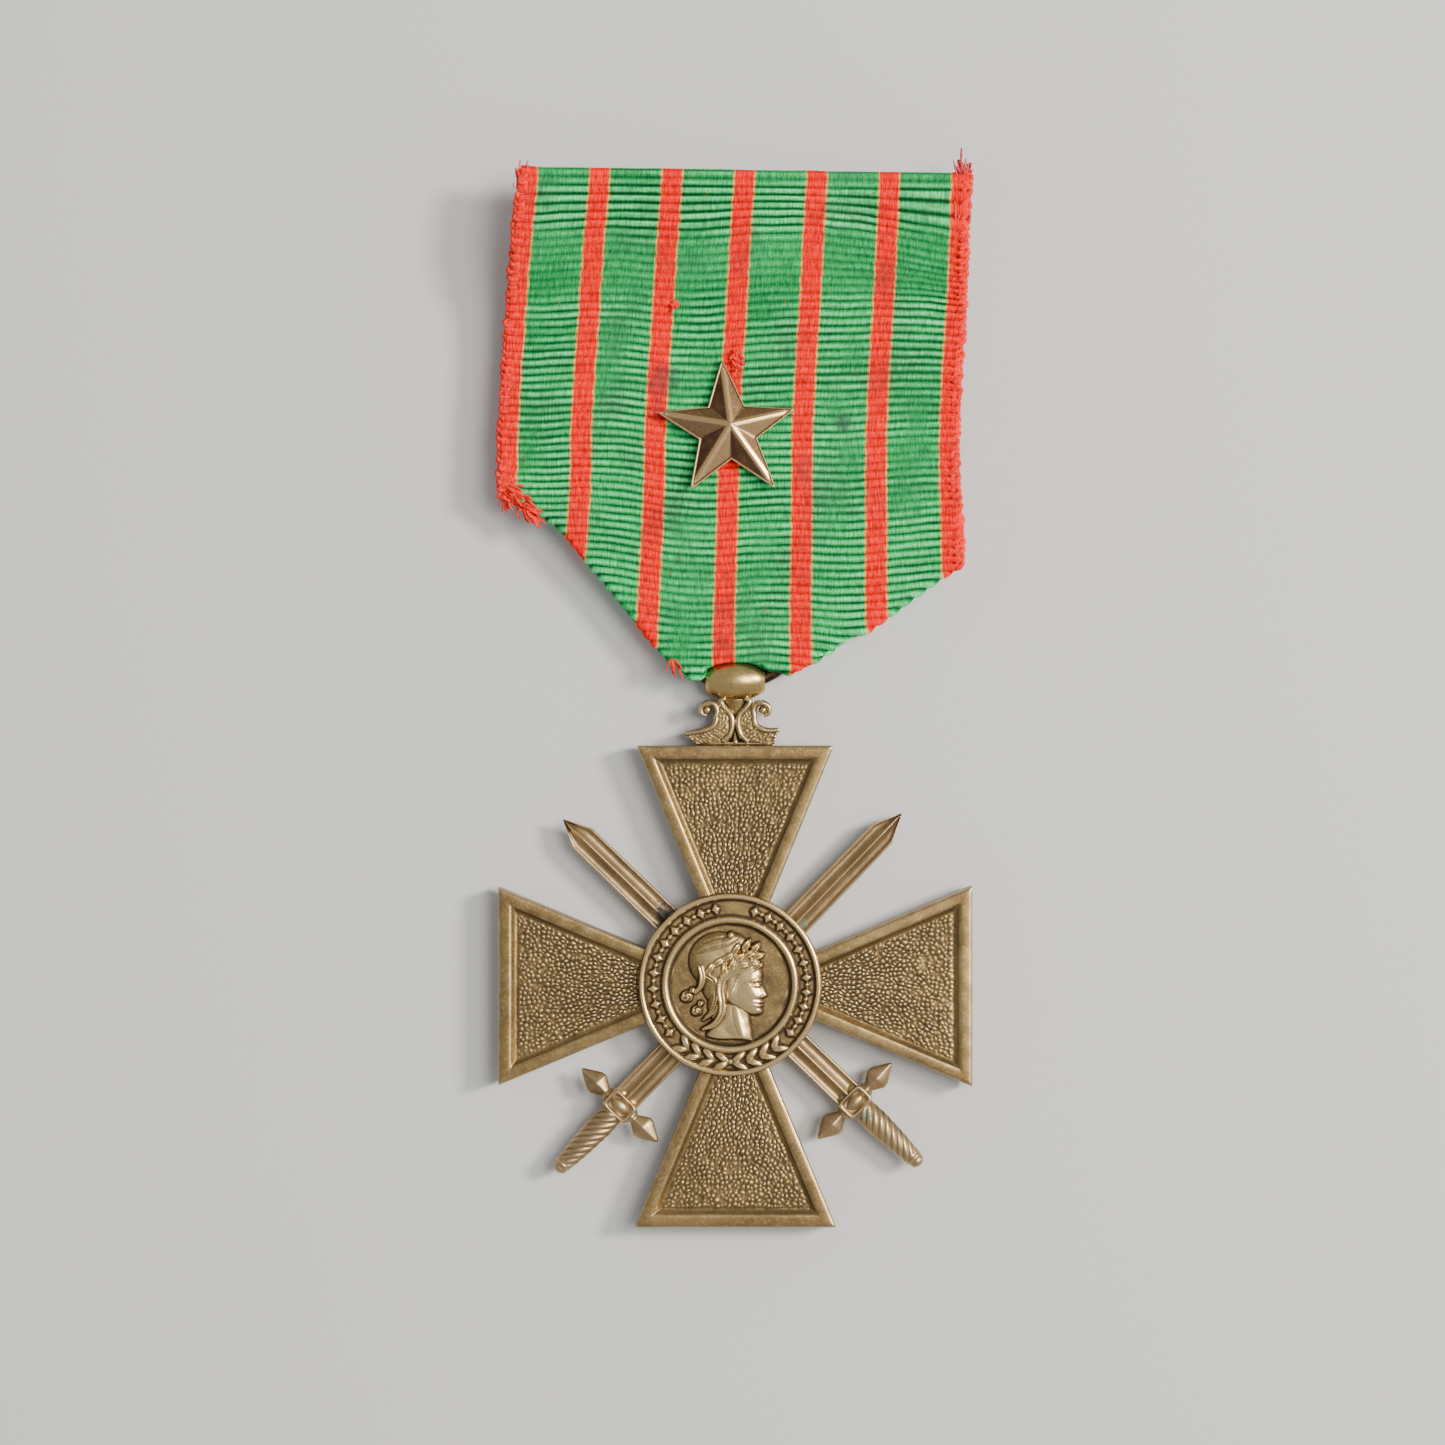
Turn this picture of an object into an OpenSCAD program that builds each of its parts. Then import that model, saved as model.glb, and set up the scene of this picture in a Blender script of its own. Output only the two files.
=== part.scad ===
// Bronze cross medal on a striped ribbon, lying on its back.
// X runs to the right, Y runs up the medal towards the brooch, Z points out of its face.
// The origin is under the middle of the medal, on the surface that it lies on.

/* [Overall] */
// Length from the bottom arm to the top fold of the ribbon
overall_length = 82.1; // [81.6:0.1:82.6]

/* [Cross] */
// Width across the left and right arms
cross_w = 37; // [36.6:0.2:37.6]
// Height across the top and bottom arms
cross_h = 37.6; // [37.2:0.2:38]
// Width of an arm at its outer end
arm_end_w = 15.4; // [14.8:0.2:16]
// Thickness of the arms
arm_t = 2; // [1.8:0.1:2.2]
// Width of the raised frame round each arm
frame_w = 1.2; // [1:0.1:1.5]
// Depth of the grained field inside the frame
field_depth = 0.4; // [0.3:0.05:0.5]

/* [Medallions] */
// Diameter of the two round medallions
medallion_d = 14.3; // [14:0.1:14.6]
// Distance that the medallions sit left of the cross's centre
medallion_shift = 0.4; // [0:0.1:0.5]
// Width of the ornamented border
border_w = 1.95; // [1.8:0.05:2.1]
// Number of ornaments round the border
ornament_count = 22; // [18:1:24]

/* [Swords] */
// Distance from the cross's centre to a sword's point
point_reach = 18.6; // [18:0.1:19]
// Distance from the cross's centre to the end of a pommel
hilt_reach = 20.2; // [19.9:0.1:20.6]
// Width of a blade
blade_w = 2.2; // [2:0.1:2.3]
// Length of a cross-guard, from tip to tip
guard_w = 8.2; // [7.8:0.1:8.6]
// Turn of the crossed pair about the cross's centre, in degrees
sword_turn = 1; // [0:0.5:2]

/* [Suspension] */
// Width of the olive-shaped ball
ball_w = 4.65; // [4.5:0.05:4.8]
// Diameter of the ball at its middle
ball_d = 3; // [2.9:0.05:3.1]
// Distance from the top arm to the ball's centre
ball_rise = 5.1; // [5:0.05:5.2]
// Width of the scrolled crest at its foot
crest_w = 7.2; // [6.8:0.1:7.6]
// Mean radius of the suspension ring
ring_r = 5.6; // [5.5:0.05:5.7]
// Diameter of the ring's wire
ring_wire_d = 1; // [0.9:0.05:1.1]

/* [Ribbon] */
// Thickness of the ribbon
ribbon_t = 0.45; // [0.4:0.05:0.45]
// Width of the gathered neck that passes through the ring
neck_w = 5.4; // [5:0.1:5.6]

/* [Star] */
// Radius to the star's points
star_r = 5.3; // [5:0.1:5.6]
// Radius to the notches between the points
star_notch_r = 2.25; // [2:0.05:2.5]
// Height of the star's middle above its back
star_h = 1.7; // [1.4:0.1:2]

/* [Brooch] */
// Length of the brooch bar inside the top fold
bar_l = 31; // [30:0.5:32]
// Diameter of the pin
pin_d = 0.8; // [0.7:0.05:0.85]
// Distance from the hinge rivet to the pin's point
pin_l = 25.7; // [25.5:0.1:26]

/* [Hidden] */
$fn = 64;
e = 0.01; // overlap that keeps a cut clean

// Levels of the cross, which is the same above and below mid_z
mid_z = 1.6;
arm_top = mid_z + arm_t / 2;
arm_low = mid_z - arm_t / 2;
seat_half = 0.6; // half the thickness left between the two medallion seats
web_t = 0.35; // web under the crossing of the swords
rim_top = 3.25;

// Places along Y
cross_y = -overall_length / 2 + cross_h / 2;
ball_y = cross_y + cross_h / 2 + ball_rise;
ribbon_top = overall_length / 2;
star_y = cross_y + 43.3;
star_x = -0.6;
medallion_r = medallion_d / 2;

// Arms
side_frame = frame_w * 0.92;
hub_r = 4.6;
channel_w = blade_w + 0.1;

// Swords
blade_edge_t = 0.5;
guard_at = 13;
guard_block = [1.65, 2.3, 1.7];
grip_r = 0.95;

// Ball and ring
bore_r = 0.82;
ring_sag = ring_r - sqrt(ring_r * ring_r - ball_w * ball_w / 4);
ring_y = ball_y + ring_r - ring_sag / 2;

// Ribbon: middle height of its front and rear layers along Y
front_low_z = 2.725;
front_z = 3.05;
rear_low_z = 0.52;
rear_z = 2.55;
bar_cover_z = 5.37;
seam_inner_z = 4.22;
seam_outer_z = 3.72;
top_turn_y = ribbon_top - (bar_cover_z - seam_inner_z) / 2 - ribbon_t / 2;
neck_y = ball_y + ball_d / 2 + 0.15; // outside of the neck's turn
neck_turn_r = (front_low_z - rear_low_z) / 2;
front_path = concat(
    [[1.5, front_low_z], [8, front_low_z], [14, front_z], [27, front_z], [30.75, front_z + 0.35],
     [36.1, bar_cover_z]],
    turn_points(top_turn_y, (bar_cover_z + seam_inner_z) / 2, (bar_cover_z - seam_inner_z) / 2, 90, -90),
    [[34.8, seam_inner_z]]
);
rear_path = [
    [39.3, seam_outer_z], [33.75, seam_outer_z], [29.75, rear_z], [16.2, rear_z],
    [13.5, rear_low_z], [1.5, rear_low_z],
];
neck_path = concat(
    [[6, front_low_z]],
    turn_points(neck_y + ribbon_t / 2 + neck_turn_r, mid_z + 0.0225, neck_turn_r, 90, 270),
    [[6, rear_low_z]]
);
ribbon_outline = [
    [-17.2, 42], [18, 42], [18, 10.1], [4.8, 2.1], [-3.6, 1.6], [-18.3, 15.8],
];

// Brooch
bar_w = 4;
bar_y = 38.1;
bar_z = 4.5;
bar_t = 0.6;
pin_y = 37.35;
pin_z = 1.3;
hinge_x = -13;
pin_eye_r = 1.15;
taper_l = 4.7;
catch_x = 10.5;
catch_w = 2.2;
catch_out_r = 1.3;
catch_in_r = 0.6;
lug_w = 2;
cheek_low_top = 0.75;
cheek_high = [1.85, 2.45];
rivet_r = 0.45;
slot_gap = 0.1;

// Points of an arc about [y, z] from one angle to another, in nine steps
function turn_points(y, z, r, from, to) =
    [for (i = [0:9]) let (a = from + (to - from) * i / 9) [y + r * cos(a), z + r * sin(a)]];

// Unit direction from one point of a path to the next
function step(path, i) =
    let (d = path[i + 1] - path[i]) d / norm(d);

// Offset of a path's point by half a thickness, square to the path on both sides of it
function shifted(path, i, half) =
    let (
        last = len(path) - 1,
        before = step(path, max(0, i - 1)),
        after = step(path, min(last - 1, i)),
        along = (before + after) / norm(before + after),
        stretch = 1 / (along * before)
    )
    path[i] + half * stretch * [-along[1], along[0]];

function band(path, t) = concat(
    [for (i = [0:len(path) - 1]) shifted(path, i, t / 2)],
    [for (i = [len(path) - 1:-1:0]) shifted(path, i, -t / 2)]
);

function ellipse_points(a, b, from, to, n) =
    [for (i = [0:n]) let (t = from + (to - from) * i / n) [a * cos(t), b * sin(t)]];

// Extrudes a shape drawn in Y and Z along X, centred
module along_x(length) {
    rotate([90, 0, 90]) linear_extrude(length, center = true) children();
}

module at_cross() {
    translate([0, cross_y, 0]) children();
}

// Wedge of one arm, from the cross's centre to its outer end
module arm_wedge(reach, inset = 0) {
    half = arm_end_w / 2;
    slope = half / reach;
    side = inset * sqrt(1 + slope * slope);
    end = reach - inset * frame_w / side_frame;
    polygon([[0, side / slope], [slope * end - side, end], [side - slope * end, end]]);
}

module arm(reach) {
    difference() {
        translate([0, 0, arm_low]) linear_extrude(arm_t) arm_wedge(reach);
        for (z = [arm_top - field_depth, arm_low - e])
            translate([0, 0, z]) linear_extrude(field_depth + e) arm_wedge(reach, side_frame);
    }
}

// Axis of each sword, from its point towards its hilt
module at_sword(left) {
    rotate(left ? -135 + sword_turn : -45 + sword_turn) children();
}

module cross_plate() {
    color("darkgoldenrod") at_cross() difference() {
        union() {
            for (a = [0, 180]) rotate(a) arm(cross_h / 2);
            for (a = [90, 270]) rotate(a) arm(cross_w / 2);
            translate([0, 0, mid_z - seat_half]) cylinder(r = hub_r, h = 2 * seat_half);
        }
        translate([-medallion_shift, 0, mid_z + seat_half]) cylinder(d = medallion_d, h = 2);
        translate([-medallion_shift, 0, mid_z - seat_half - 2]) cylinder(d = medallion_d, h = 2);
        for (left = [true, false]) at_sword(left)
            translate([-9, -channel_w / 2, mid_z - seat_half + web_t]) cube([18, channel_w, 2]);
    }
}

// Blade with a ridge down each face, pointed at its far end
module blade() {
    ridge = seat_half;
    edge = blade_edge_t / 2;
    w = blade_w / 2;
    intersection() {
        translate([(guard_at - point_reach) / 2, 0, mid_z]) along_x(guard_at + point_reach)
            polygon([[-w, -edge], [0, -ridge], [w, -edge], [w, edge], [0, ridge], [-w, edge]]);
        linear_extrude(4) polygon([
            [-point_reach, 0], [-point_reach + 1.8, w], [guard_at, w],
            [guard_at, -w], [-point_reach + 1.8, -w],
        ]);
    }
}

// Quillon: a faceted bud that points away from the blade
module quillon() {
    tip = guard_w / 2;
    translate([guard_at, 0, mid_z - 0.5]) linear_extrude(1)
        polygon([[-0.35, 0.9], [0.35, 0.9], [0.95, tip - 1.6], [0.25, tip], [-0.25, tip], [-0.95, tip - 1.6]]);
}

module grip() {
    start = guard_at + guard_block[0] / 2;
    length = hilt_reach - start;
    translate([start, 0, mid_z]) rotate([0, 90, 0]) rotate_extrude() polygon([
        [0, -0.2], [0.8, -0.2], [grip_r, length * 0.4], [0.62, length - 0.9],
        [0.4, length - 0.9], [0.55, length - 0.45], [0.3, length], [0, length],
    ]);
}

module sword_shape() {
    blade();
    translate([guard_at, 0, mid_z]) cube(guard_block, center = true);
    for (side = [0, 1]) mirror([0, side, 0]) quillon();
    grip();
    for (up = [0, 1]) translate([guard_at, 0, mid_z]) mirror([0, 0, up])
        translate([0, 0, guard_block[2] / 2 - e]) cylinder(r = 0.55, h = 0.25);
}

// Each sword is thinned where it lies in the channel, and halved where the two cross
module sword(left) {
    channel_floor = mid_z - seat_half + web_t;
    lap_z = (channel_floor + mid_z + seat_half) / 2;
    at_cross() at_sword(left) difference() {
        sword_shape();
        translate([-hub_r - 0.1, -2, 0]) cube([2 * hub_r + 0.2, 4, channel_floor]);
        translate([-channel_w / 2, -2, left ? lap_z : 0]) cube([channel_w, 4, left ? 4 : lap_z]);
    }
}

module sword_hilt_left() {
    color("peru") sword(true);
}

module sword_hilt_right() {
    color("peru") sword(false);
}

module ring_wall(outer, wall, z, h) {
    translate([0, 0, z]) difference() {
        cylinder(r = outer, h = h);
        translate([0, 0, -e]) cylinder(r = outer - wall, h = h + 2 * e);
    }
}

// Plain profile relief: cap, face, hair and cut neck
module head_relief() {
    translate([-0.7, 0.8, 0]) cylinder(r = 2.5, h = 0.55);
    translate([0.5, -0.2, 0]) cylinder(r = 1.9, h = 0.5);
    linear_extrude(0.45) polygon([[-2.1, -3.6], [1.3, -3.9], [1.2, -1.5], [-1.5, -1]]);
}

module front_medallion() {
    field_z = 2.75;
    border_in_r = medallion_r - border_w;
    color("goldenrod") at_cross() translate([-medallion_shift, 0, 0]) {
        translate([0, 0, mid_z + seat_half]) cylinder(r = medallion_r, h = field_z - mid_z - seat_half);
        ring_wall(medallion_r, border_w + 0.1, field_z - e, 0.2);
        ring_wall(medallion_r, 0.42, field_z, rim_top - field_z);
        ring_wall(border_in_r + 0.22, 0.42, field_z - e, rim_top - 0.05 - field_z);
        for (i = [0:ornament_count - 1]) rotate(-50 + 280 * i / (ornament_count - 1))
            translate([medallion_r - border_w / 2 - 0.1, 0, field_z + 0.1]) cylinder(r = 0.38, h = 0.35);
        translate([0, 0, field_z - e]) head_relief();
    }
}

module rear_medallion() {
    color("goldenrod") at_cross() translate([-medallion_shift, 0, 0]) {
        translate([0, 0, 0.3]) cylinder(r = medallion_r, h = mid_z - seat_half - 0.3);
        ring_wall(medallion_r, 0.6, 0, 0.35);
        ring_wall(medallion_r - border_w + 0.4, 0.4, 0.1, 0.25);
        translate([0, 0, 0.1]) cylinder(r = 2, h = 0.25);
    }
}

// One scroll of the crest: a crescent with a bead at its upper end
module scroll() {
    difference() {
        polygon([[0, -0.2], [crest_w / 2, -0.2], [crest_w / 2, 1], [2.3, 1.9], [2.2, 3.4], [0.9, 4.3], [0, 4.3]]);
        translate([2.75, 2.35]) circle(r = 1.05);
        translate([3.9, 2.6]) circle(r = 1.6);
    }
    translate([1.85, 3.15]) circle(r = 0.5);
}

// Olive-shaped ball on its axis, with a hole of this radius along it
module ball_shape(hole_r) {
    tilt = asin(2 * (bore_r + 0.05) / ball_d);
    outside = ellipse_points(ball_d / 2, ball_w / 2 / cos(tilt), tilt - 90, 90 - tilt, 24);
    rotate([0, 90, 0]) rotate_extrude()
        polygon(concat([[hole_r, -ball_w / 2]], outside, [[hole_r, ball_w / 2]]));
}

module crest() {
    color("darkgoldenrod") translate([0, cross_y + cross_h / 2, 0]) difference() {
        translate([0, 0, mid_z - 0.8]) linear_extrude(1.6) {
            scroll();
            mirror([1, 0]) scroll();
        }
        translate([0, ball_rise, mid_z]) ball_shape(0);
        translate([-5, -1, -1]) cube([10, 1, 5]);
    }
}

module suspension_ball() {
    color("gold") translate([0, ball_y, mid_z]) ball_shape(bore_r);
}

module suspension_ring() {
    color("saddlebrown") translate([0, ring_y, mid_z])
        rotate_extrude($fn = 96) translate([ring_r, 0]) circle(d = ring_wire_d, $fn = 32);
}

module ribbon_layers() {
    intersection() {
        union() {
            along_x(40) polygon(band(front_path, ribbon_t));
            along_x(40) polygon(band(rear_path, ribbon_t));
        }
        linear_extrude(8) polygon(ribbon_outline);
    }
}

module ribbon() {
    color("seagreen") difference() {
        union() {
            difference() {
                ribbon_layers();
                translate([-neck_w / 2, 0, -1]) cube([neck_w, neck_y + 1.5, 8]);
            }
            along_x(neck_w) polygon(band(neck_path, ribbon_t));
        }
        translate([hinge_x - 2.2 - slot_gap, pin_y - lug_w / 2 - slot_gap, 3])
            cube([0.8 + 2 * slot_gap, lug_w + 2 * slot_gap, 1.7]);
        translate([catch_x - slot_gap, pin_y - 0.4 - slot_gap, 3])
            cube([catch_w + 2 * slot_gap, 0.8 + 2 * slot_gap, 1.7]);
        for (side = [-1, 1]) prong_stem(side, 0.05);
    }
}

// Ten outline points of a star, by turns on the point and the notch radius
function star_points() =
    [for (i = [0:9]) let (r = i % 2 == 0 ? star_r : star_notch_r, a = 93 + 36 * i) [r * cos(a), r * sin(a)]];

module star() {
    edge_h = 0.45;
    back_z = front_z + ribbon_t / 2;
    outline = star_points();
    points = concat(
        [for (p = outline) [p[0], p[1], 0]],
        [for (p = outline) [p[0], p[1], edge_h]],
        [[0.2, 0.4, star_h], [0, 0, 0]]
    );
    faces = concat(
        [for (i = [0:9]) [21, i, (i + 1) % 10]],
        [for (i = [0:9]) [i, i + 10, (i + 1) % 10 + 10, (i + 1) % 10]],
        [for (i = [0:9]) [20, (i + 1) % 10 + 10, i + 10]]
    );
    color("sienna") translate([star_x, star_y, back_z]) polyhedron(points, faces);
}

module prong_stem(side, gap) {
    top = front_z + ribbon_t / 2;
    low = rear_z - ribbon_t / 2 - 0.2;
    translate([star_x + side * 1.6 - 0.4 - gap, star_y - 0.15 - gap, low - gap])
        cube([0.8 + 2 * gap, 0.3 + 2 * gap, top - low + gap]);
}

// Two flat prongs, through both layers of the ribbon and folded over behind it
module star_prongs() {
    low = rear_z - ribbon_t / 2 - 0.2;
    color("sienna") for (side = [-1, 1]) {
        prong_stem(side, 0);
        translate([star_x + side * 1.6 - 0.4, side > 0 ? star_y - 0.15 : star_y - 2.25, low])
            cube([0.8, 2.4, 0.2]);
    }
}

module brooch_bar() {
    corner = 0.6;
    color("khaki") translate([0, bar_y, bar_z]) linear_extrude(bar_t) union() {
        square([bar_l - 2 * corner, bar_w], center = true);
        square([bar_l, bar_w - 2 * corner], center = true);
        for (sx = [-1, 1], sy = [-1, 1])
            translate([sx * (bar_l / 2 - corner), sy * (bar_w / 2 - corner)]) circle(r = corner);
    }
}

// Cheek of the hinge, round at the rivet
module cheek(z, h) {
    translate([hinge_x, pin_y, z]) difference() {
        union() {
            cylinder(r = lug_w / 2, h = h);
            translate([-1.7, -lug_w / 2, 0]) cube([1.7, lug_w, h]);
        }
        translate([0, 0, -e]) cylinder(r = rivet_r, h = h + 2 * e);
    }
}

module hinge_lug() {
    color("khaki") union() {
        cheek(0, cheek_low_top);
        cheek(cheek_high[0], cheek_high[1] - cheek_high[0]);
        translate([hinge_x - 2.2, pin_y - lug_w / 2, 0]) cube([0.8, lug_w, bar_z]);
    }
}

module hinge_rivet() {
    color("lightgrey") translate([hinge_x, pin_y, 0]) {
        cylinder(r = rivet_r, h = cheek_high[1]);
        translate([0, 0, cheek_high[1]]) cylinder(r = 0.75, h = 0.3);
    }
}

module brooch_pin() {
    shank_l = pin_l - taper_l;
    color("silver") translate([hinge_x, pin_y, pin_z]) difference() {
        union() {
            cylinder(r = pin_eye_r, h = pin_d, center = true);
            rotate([0, 90, 0]) cylinder(d = pin_d, h = shank_l);
            translate([shank_l, 0, 0]) rotate([0, 90, 0]) cylinder(d1 = pin_d, d2 = 0.2, h = taper_l);
        }
        cylinder(r = rivet_r + 0.05, h = 2, center = true);
    }
}

// Hook whose mouth faces down the medal, so that the medal's weight keeps the pin in it
module catch_hook() {
    mouth = 60;
    color("khaki") translate([catch_x + catch_w / 2, pin_y, pin_z]) {
        along_x(catch_w) difference() {
            circle(r = catch_out_r);
            circle(r = catch_in_r);
            polygon([[0, 0], 3 * [-cos(mouth), -sin(mouth)], [-4, 0], 3 * [-cos(mouth), sin(mouth)]]);
        }
        translate([-catch_w / 2, -0.4, catch_out_r - 0.3]) cube([catch_w, 0.8, bar_z - pin_z - catch_out_r + 0.3]);
    }
}

// Row of stitches that closes the ribbon's two ends behind the bar
module seam_stitches() {
    thread_d = 0.26;
    pitch = 2.9;
    color("darkgreen") for (i = [-5:5])
        translate([i * pitch, 35, seam_outer_z - ribbon_t / 2 - thread_d / 2])
            rotate([0, 90, 4]) cylinder(d = thread_d, h = 1.7, center = true);
}

cross_plate();
sword_hilt_left();
sword_hilt_right();
front_medallion();
rear_medallion();
crest();
suspension_ball();
suspension_ring();
ribbon();
star();
star_prongs();
brooch_bar();
hinge_lug();
hinge_rivet();
brooch_pin();
catch_hook();
seam_stitches();
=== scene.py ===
"""Finished looks of a bronze cross medal on its folded ribbon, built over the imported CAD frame.

Every length in the code is in millimetres until a mesh is written, when it becomes metres.
X runs to the right, Y up the medal towards the brooch, and Z out of its face.
"""

import bmesh
import bpy
import numpy as np
from bpy.props import FloatProperty, FloatVectorProperty, IntProperty, PointerProperty
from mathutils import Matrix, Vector


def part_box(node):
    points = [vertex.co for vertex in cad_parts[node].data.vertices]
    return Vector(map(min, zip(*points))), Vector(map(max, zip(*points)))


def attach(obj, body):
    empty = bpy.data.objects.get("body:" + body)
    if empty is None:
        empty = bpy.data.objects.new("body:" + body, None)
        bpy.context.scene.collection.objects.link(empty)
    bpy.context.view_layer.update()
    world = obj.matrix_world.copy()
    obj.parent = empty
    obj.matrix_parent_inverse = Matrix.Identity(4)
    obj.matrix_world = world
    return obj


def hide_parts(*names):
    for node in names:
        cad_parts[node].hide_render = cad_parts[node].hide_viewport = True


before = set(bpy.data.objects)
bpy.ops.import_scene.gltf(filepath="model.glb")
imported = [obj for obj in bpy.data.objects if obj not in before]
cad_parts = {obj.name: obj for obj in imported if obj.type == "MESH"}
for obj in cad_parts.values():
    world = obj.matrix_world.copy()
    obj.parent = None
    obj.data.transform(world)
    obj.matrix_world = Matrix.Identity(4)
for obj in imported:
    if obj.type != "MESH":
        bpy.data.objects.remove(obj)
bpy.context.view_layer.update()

bl_info = {
    "name": "Cross Medal on a Ribbon",
    "version": (1, 0, 0),
    "blender": (4, 5, 0),
    "location": "3D View > Sidebar > Medal",
    "description": "Builds a bronze cross medal with crossed swords on a striped ribbon",
    "category": "Object",
}

MM = 0.001


def middle(node):
    """Centre of a CAD node's box, in millimetres."""
    low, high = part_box(node)
    return (np.array(low) + np.array(high)) / 2 / MM


CROSS = middle("cross_plate")
BALL = middle("suspension_ball")
HUB = middle("front_medallion")
MID_Z = 1.6  # level of the cross's middle plane
ARM_HALF_T = 1.0  # half the thickness of the arms
FLAT = np.array([1, 1, 0])  # keeps a place's X and Y and drops its Z


# ---------------------------------------------------------------- shapes


def smooth(x, low, high):
    """0 below low, 1 above high, and a cubic ease between them."""
    t = np.clip((x - low) / (high - low), 0, 1)
    return t * t * (3 - 2 * t)


def wander(x, y, seed, waves=8, low=0.1, high=0.6):
    """A sum of plane waves over x and y with seeded directions, about -1 to 1."""
    rng = np.random.default_rng(seed)
    out = np.zeros(np.broadcast(x, y).shape)
    turn = 6.283  # a whole turn in radians
    draws = [rng.uniform(*limits, waves) for limits in ((low, high), (0, turn), (0, turn))]
    for f, t, p in zip(*draws):
        out = out + np.sin(turn * f * (x * np.cos(t) + y * np.sin(t)) + p)
    return out / np.sqrt(waves)


def pebbles(x, y, size, seed):
    """Rounded grains: the gap between the nearest two of a jittered lattice's points, eased."""
    rng = np.random.default_rng(seed)
    n = 61  # points along the lattice before it repeats
    jitter = rng.random((n, n, 2))
    gx, gy = x / size, y / size
    ix, iy = np.floor(gx).astype(int), np.floor(gy).astype(int)
    near = np.full(x.shape, 9.0)
    second = near.copy()
    for dx in (-1, 0, 1):
        for dy in (-1, 0, 1):
            cx, cy = ix + dx, iy + dy
            j = jitter[cx % n, cy % n]
            d = np.hypot(cx + j[..., 0] - gx, cy + j[..., 1] - gy)
            second = np.minimum(second, np.maximum(near, d))
            near = np.minimum(near, d)
    return smooth(second - near, 0, 0.55) * (1 - 0.55 * near**2)


class Shell:
    """Gathers grids of points, in millimetres, into one mesh."""

    def __init__(self):
        self.points, self.uvs, self.quads, self.tris, self.values = [], [], [], [], {}
        self.count = 0

    def _add(self, p, uv, values):
        n = len(p)
        self.points.append(p)
        self.uvs.append(np.zeros((n, 2)) if uv is None else uv.reshape(-1, 2))
        for key in set(self.values) | set(values):
            rows = self.values.setdefault(key, [np.zeros(self.count)])
            rows.append(np.asarray(values[key]).ravel() if key in values else np.zeros(n))
        self.count += n

    def grid(self, p, around=False, uv=None, **values):
        """Quads over points of shape (rows, columns, 3). around joins the last column to the first."""
        rows, columns = p.shape[:2]
        index = self.count + np.arange(rows * columns).reshape(rows, columns)
        self._add(p.reshape(-1, 3), uv, values)
        a = np.hstack([index, index[:, :1]]) if around else index
        self.strips(a)
        return index

    def strips(self, a):
        """Quads between the rows of an array of point numbers."""
        self.quads.append(np.stack([a[:-1, :-1], a[1:, :-1], a[1:, 1:], a[:-1, 1:]], -1).reshape(-1, 4))

    def fan(self, ring, apex, uv=None, **values):
        """Triangles from a closed ring of point numbers to one new point."""
        top = self.count
        self._add(np.asarray(apex, float).reshape(1, 3), uv, values)
        self.tris.append(np.stack([ring, np.roll(ring, -1), np.full(len(ring), top)], -1))

    def tube(self, p, **values):
        """A closed tube over rings of shape (rings, sides, 3), with a point at the middle of each end."""
        index = self.grid(p, around=True, **values)
        self.fan(index[0], p[0].mean(0), **{k: [np.ravel(v)[0]] for k, v in values.items()})
        self.fan(index[-1][::-1], p[-1].mean(0), **{k: [np.ravel(v)[-1]] for k, v in values.items()})
        return index

    def build(self, name, body, slot, material, stands_for=(), wear=0.16, uv_name=None):
        """Writes the mesh in metres with closed seams and outward faces, and lets it ride on a body."""
        weld = 1e-4 * MM  # points closer than this become one
        points = np.concatenate(self.points)
        quads = np.concatenate(self.quads) if self.quads else np.zeros((0, 4), int)
        tris = np.concatenate(self.tris) if self.tris else np.zeros((0, 3), int)
        corners = np.concatenate([quads.ravel(), tris.ravel()]).astype(np.int32)
        starts = np.concatenate([np.arange(len(quads)) * 4, len(quads) * 4 + np.arange(len(tris)) * 3])
        mesh = bpy.data.meshes.new(name)
        mesh.vertices.add(len(points))
        mesh.vertices.foreach_set("co", (points * MM).astype(np.float32).ravel())
        mesh.loops.add(len(corners))
        mesh.loops.foreach_set("vertex_index", corners)
        mesh.polygons.add(len(starts))
        mesh.polygons.foreach_set("loop_start", starts.astype(np.int32))
        mesh.update(calc_edges=True)
        if uv_name:
            layer = mesh.uv_layers.new(name=uv_name)
            layer.uv.foreach_set("vector", np.concatenate(self.uvs)[corners].astype(np.float32).ravel())
        for key, rows in self.values.items():
            store(mesh, key, np.concatenate(rows))
        bm = bmesh.new()
        bm.from_mesh(mesh)
        bmesh.ops.remove_doubles(bm, verts=bm.verts, dist=weld)
        bmesh.ops.dissolve_degenerate(bm, edges=bm.edges, dist=weld * 0.5)
        bmesh.ops.recalc_face_normals(bm, faces=bm.faces)
        bm.to_mesh(mesh)
        bm.free()
        mesh.polygons.foreach_set("use_smooth", np.ones(len(mesh.polygons), bool))
        if wear:
            mark_wear(mesh, wear)
        mesh.materials.append(material)
        piece = bpy.data.objects.new(name, mesh)
        bpy.context.scene.collection.objects.link(piece)
        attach(piece, body)
        if stands_for:
            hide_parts(*stands_for)
        return piece


def store(mesh, name, values):
    """Keeps one number for each point of the mesh, for its material to read."""
    mesh.attributes.new(name, "FLOAT", "POINT").data.foreach_set("value", values.astype(np.float32))


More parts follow.
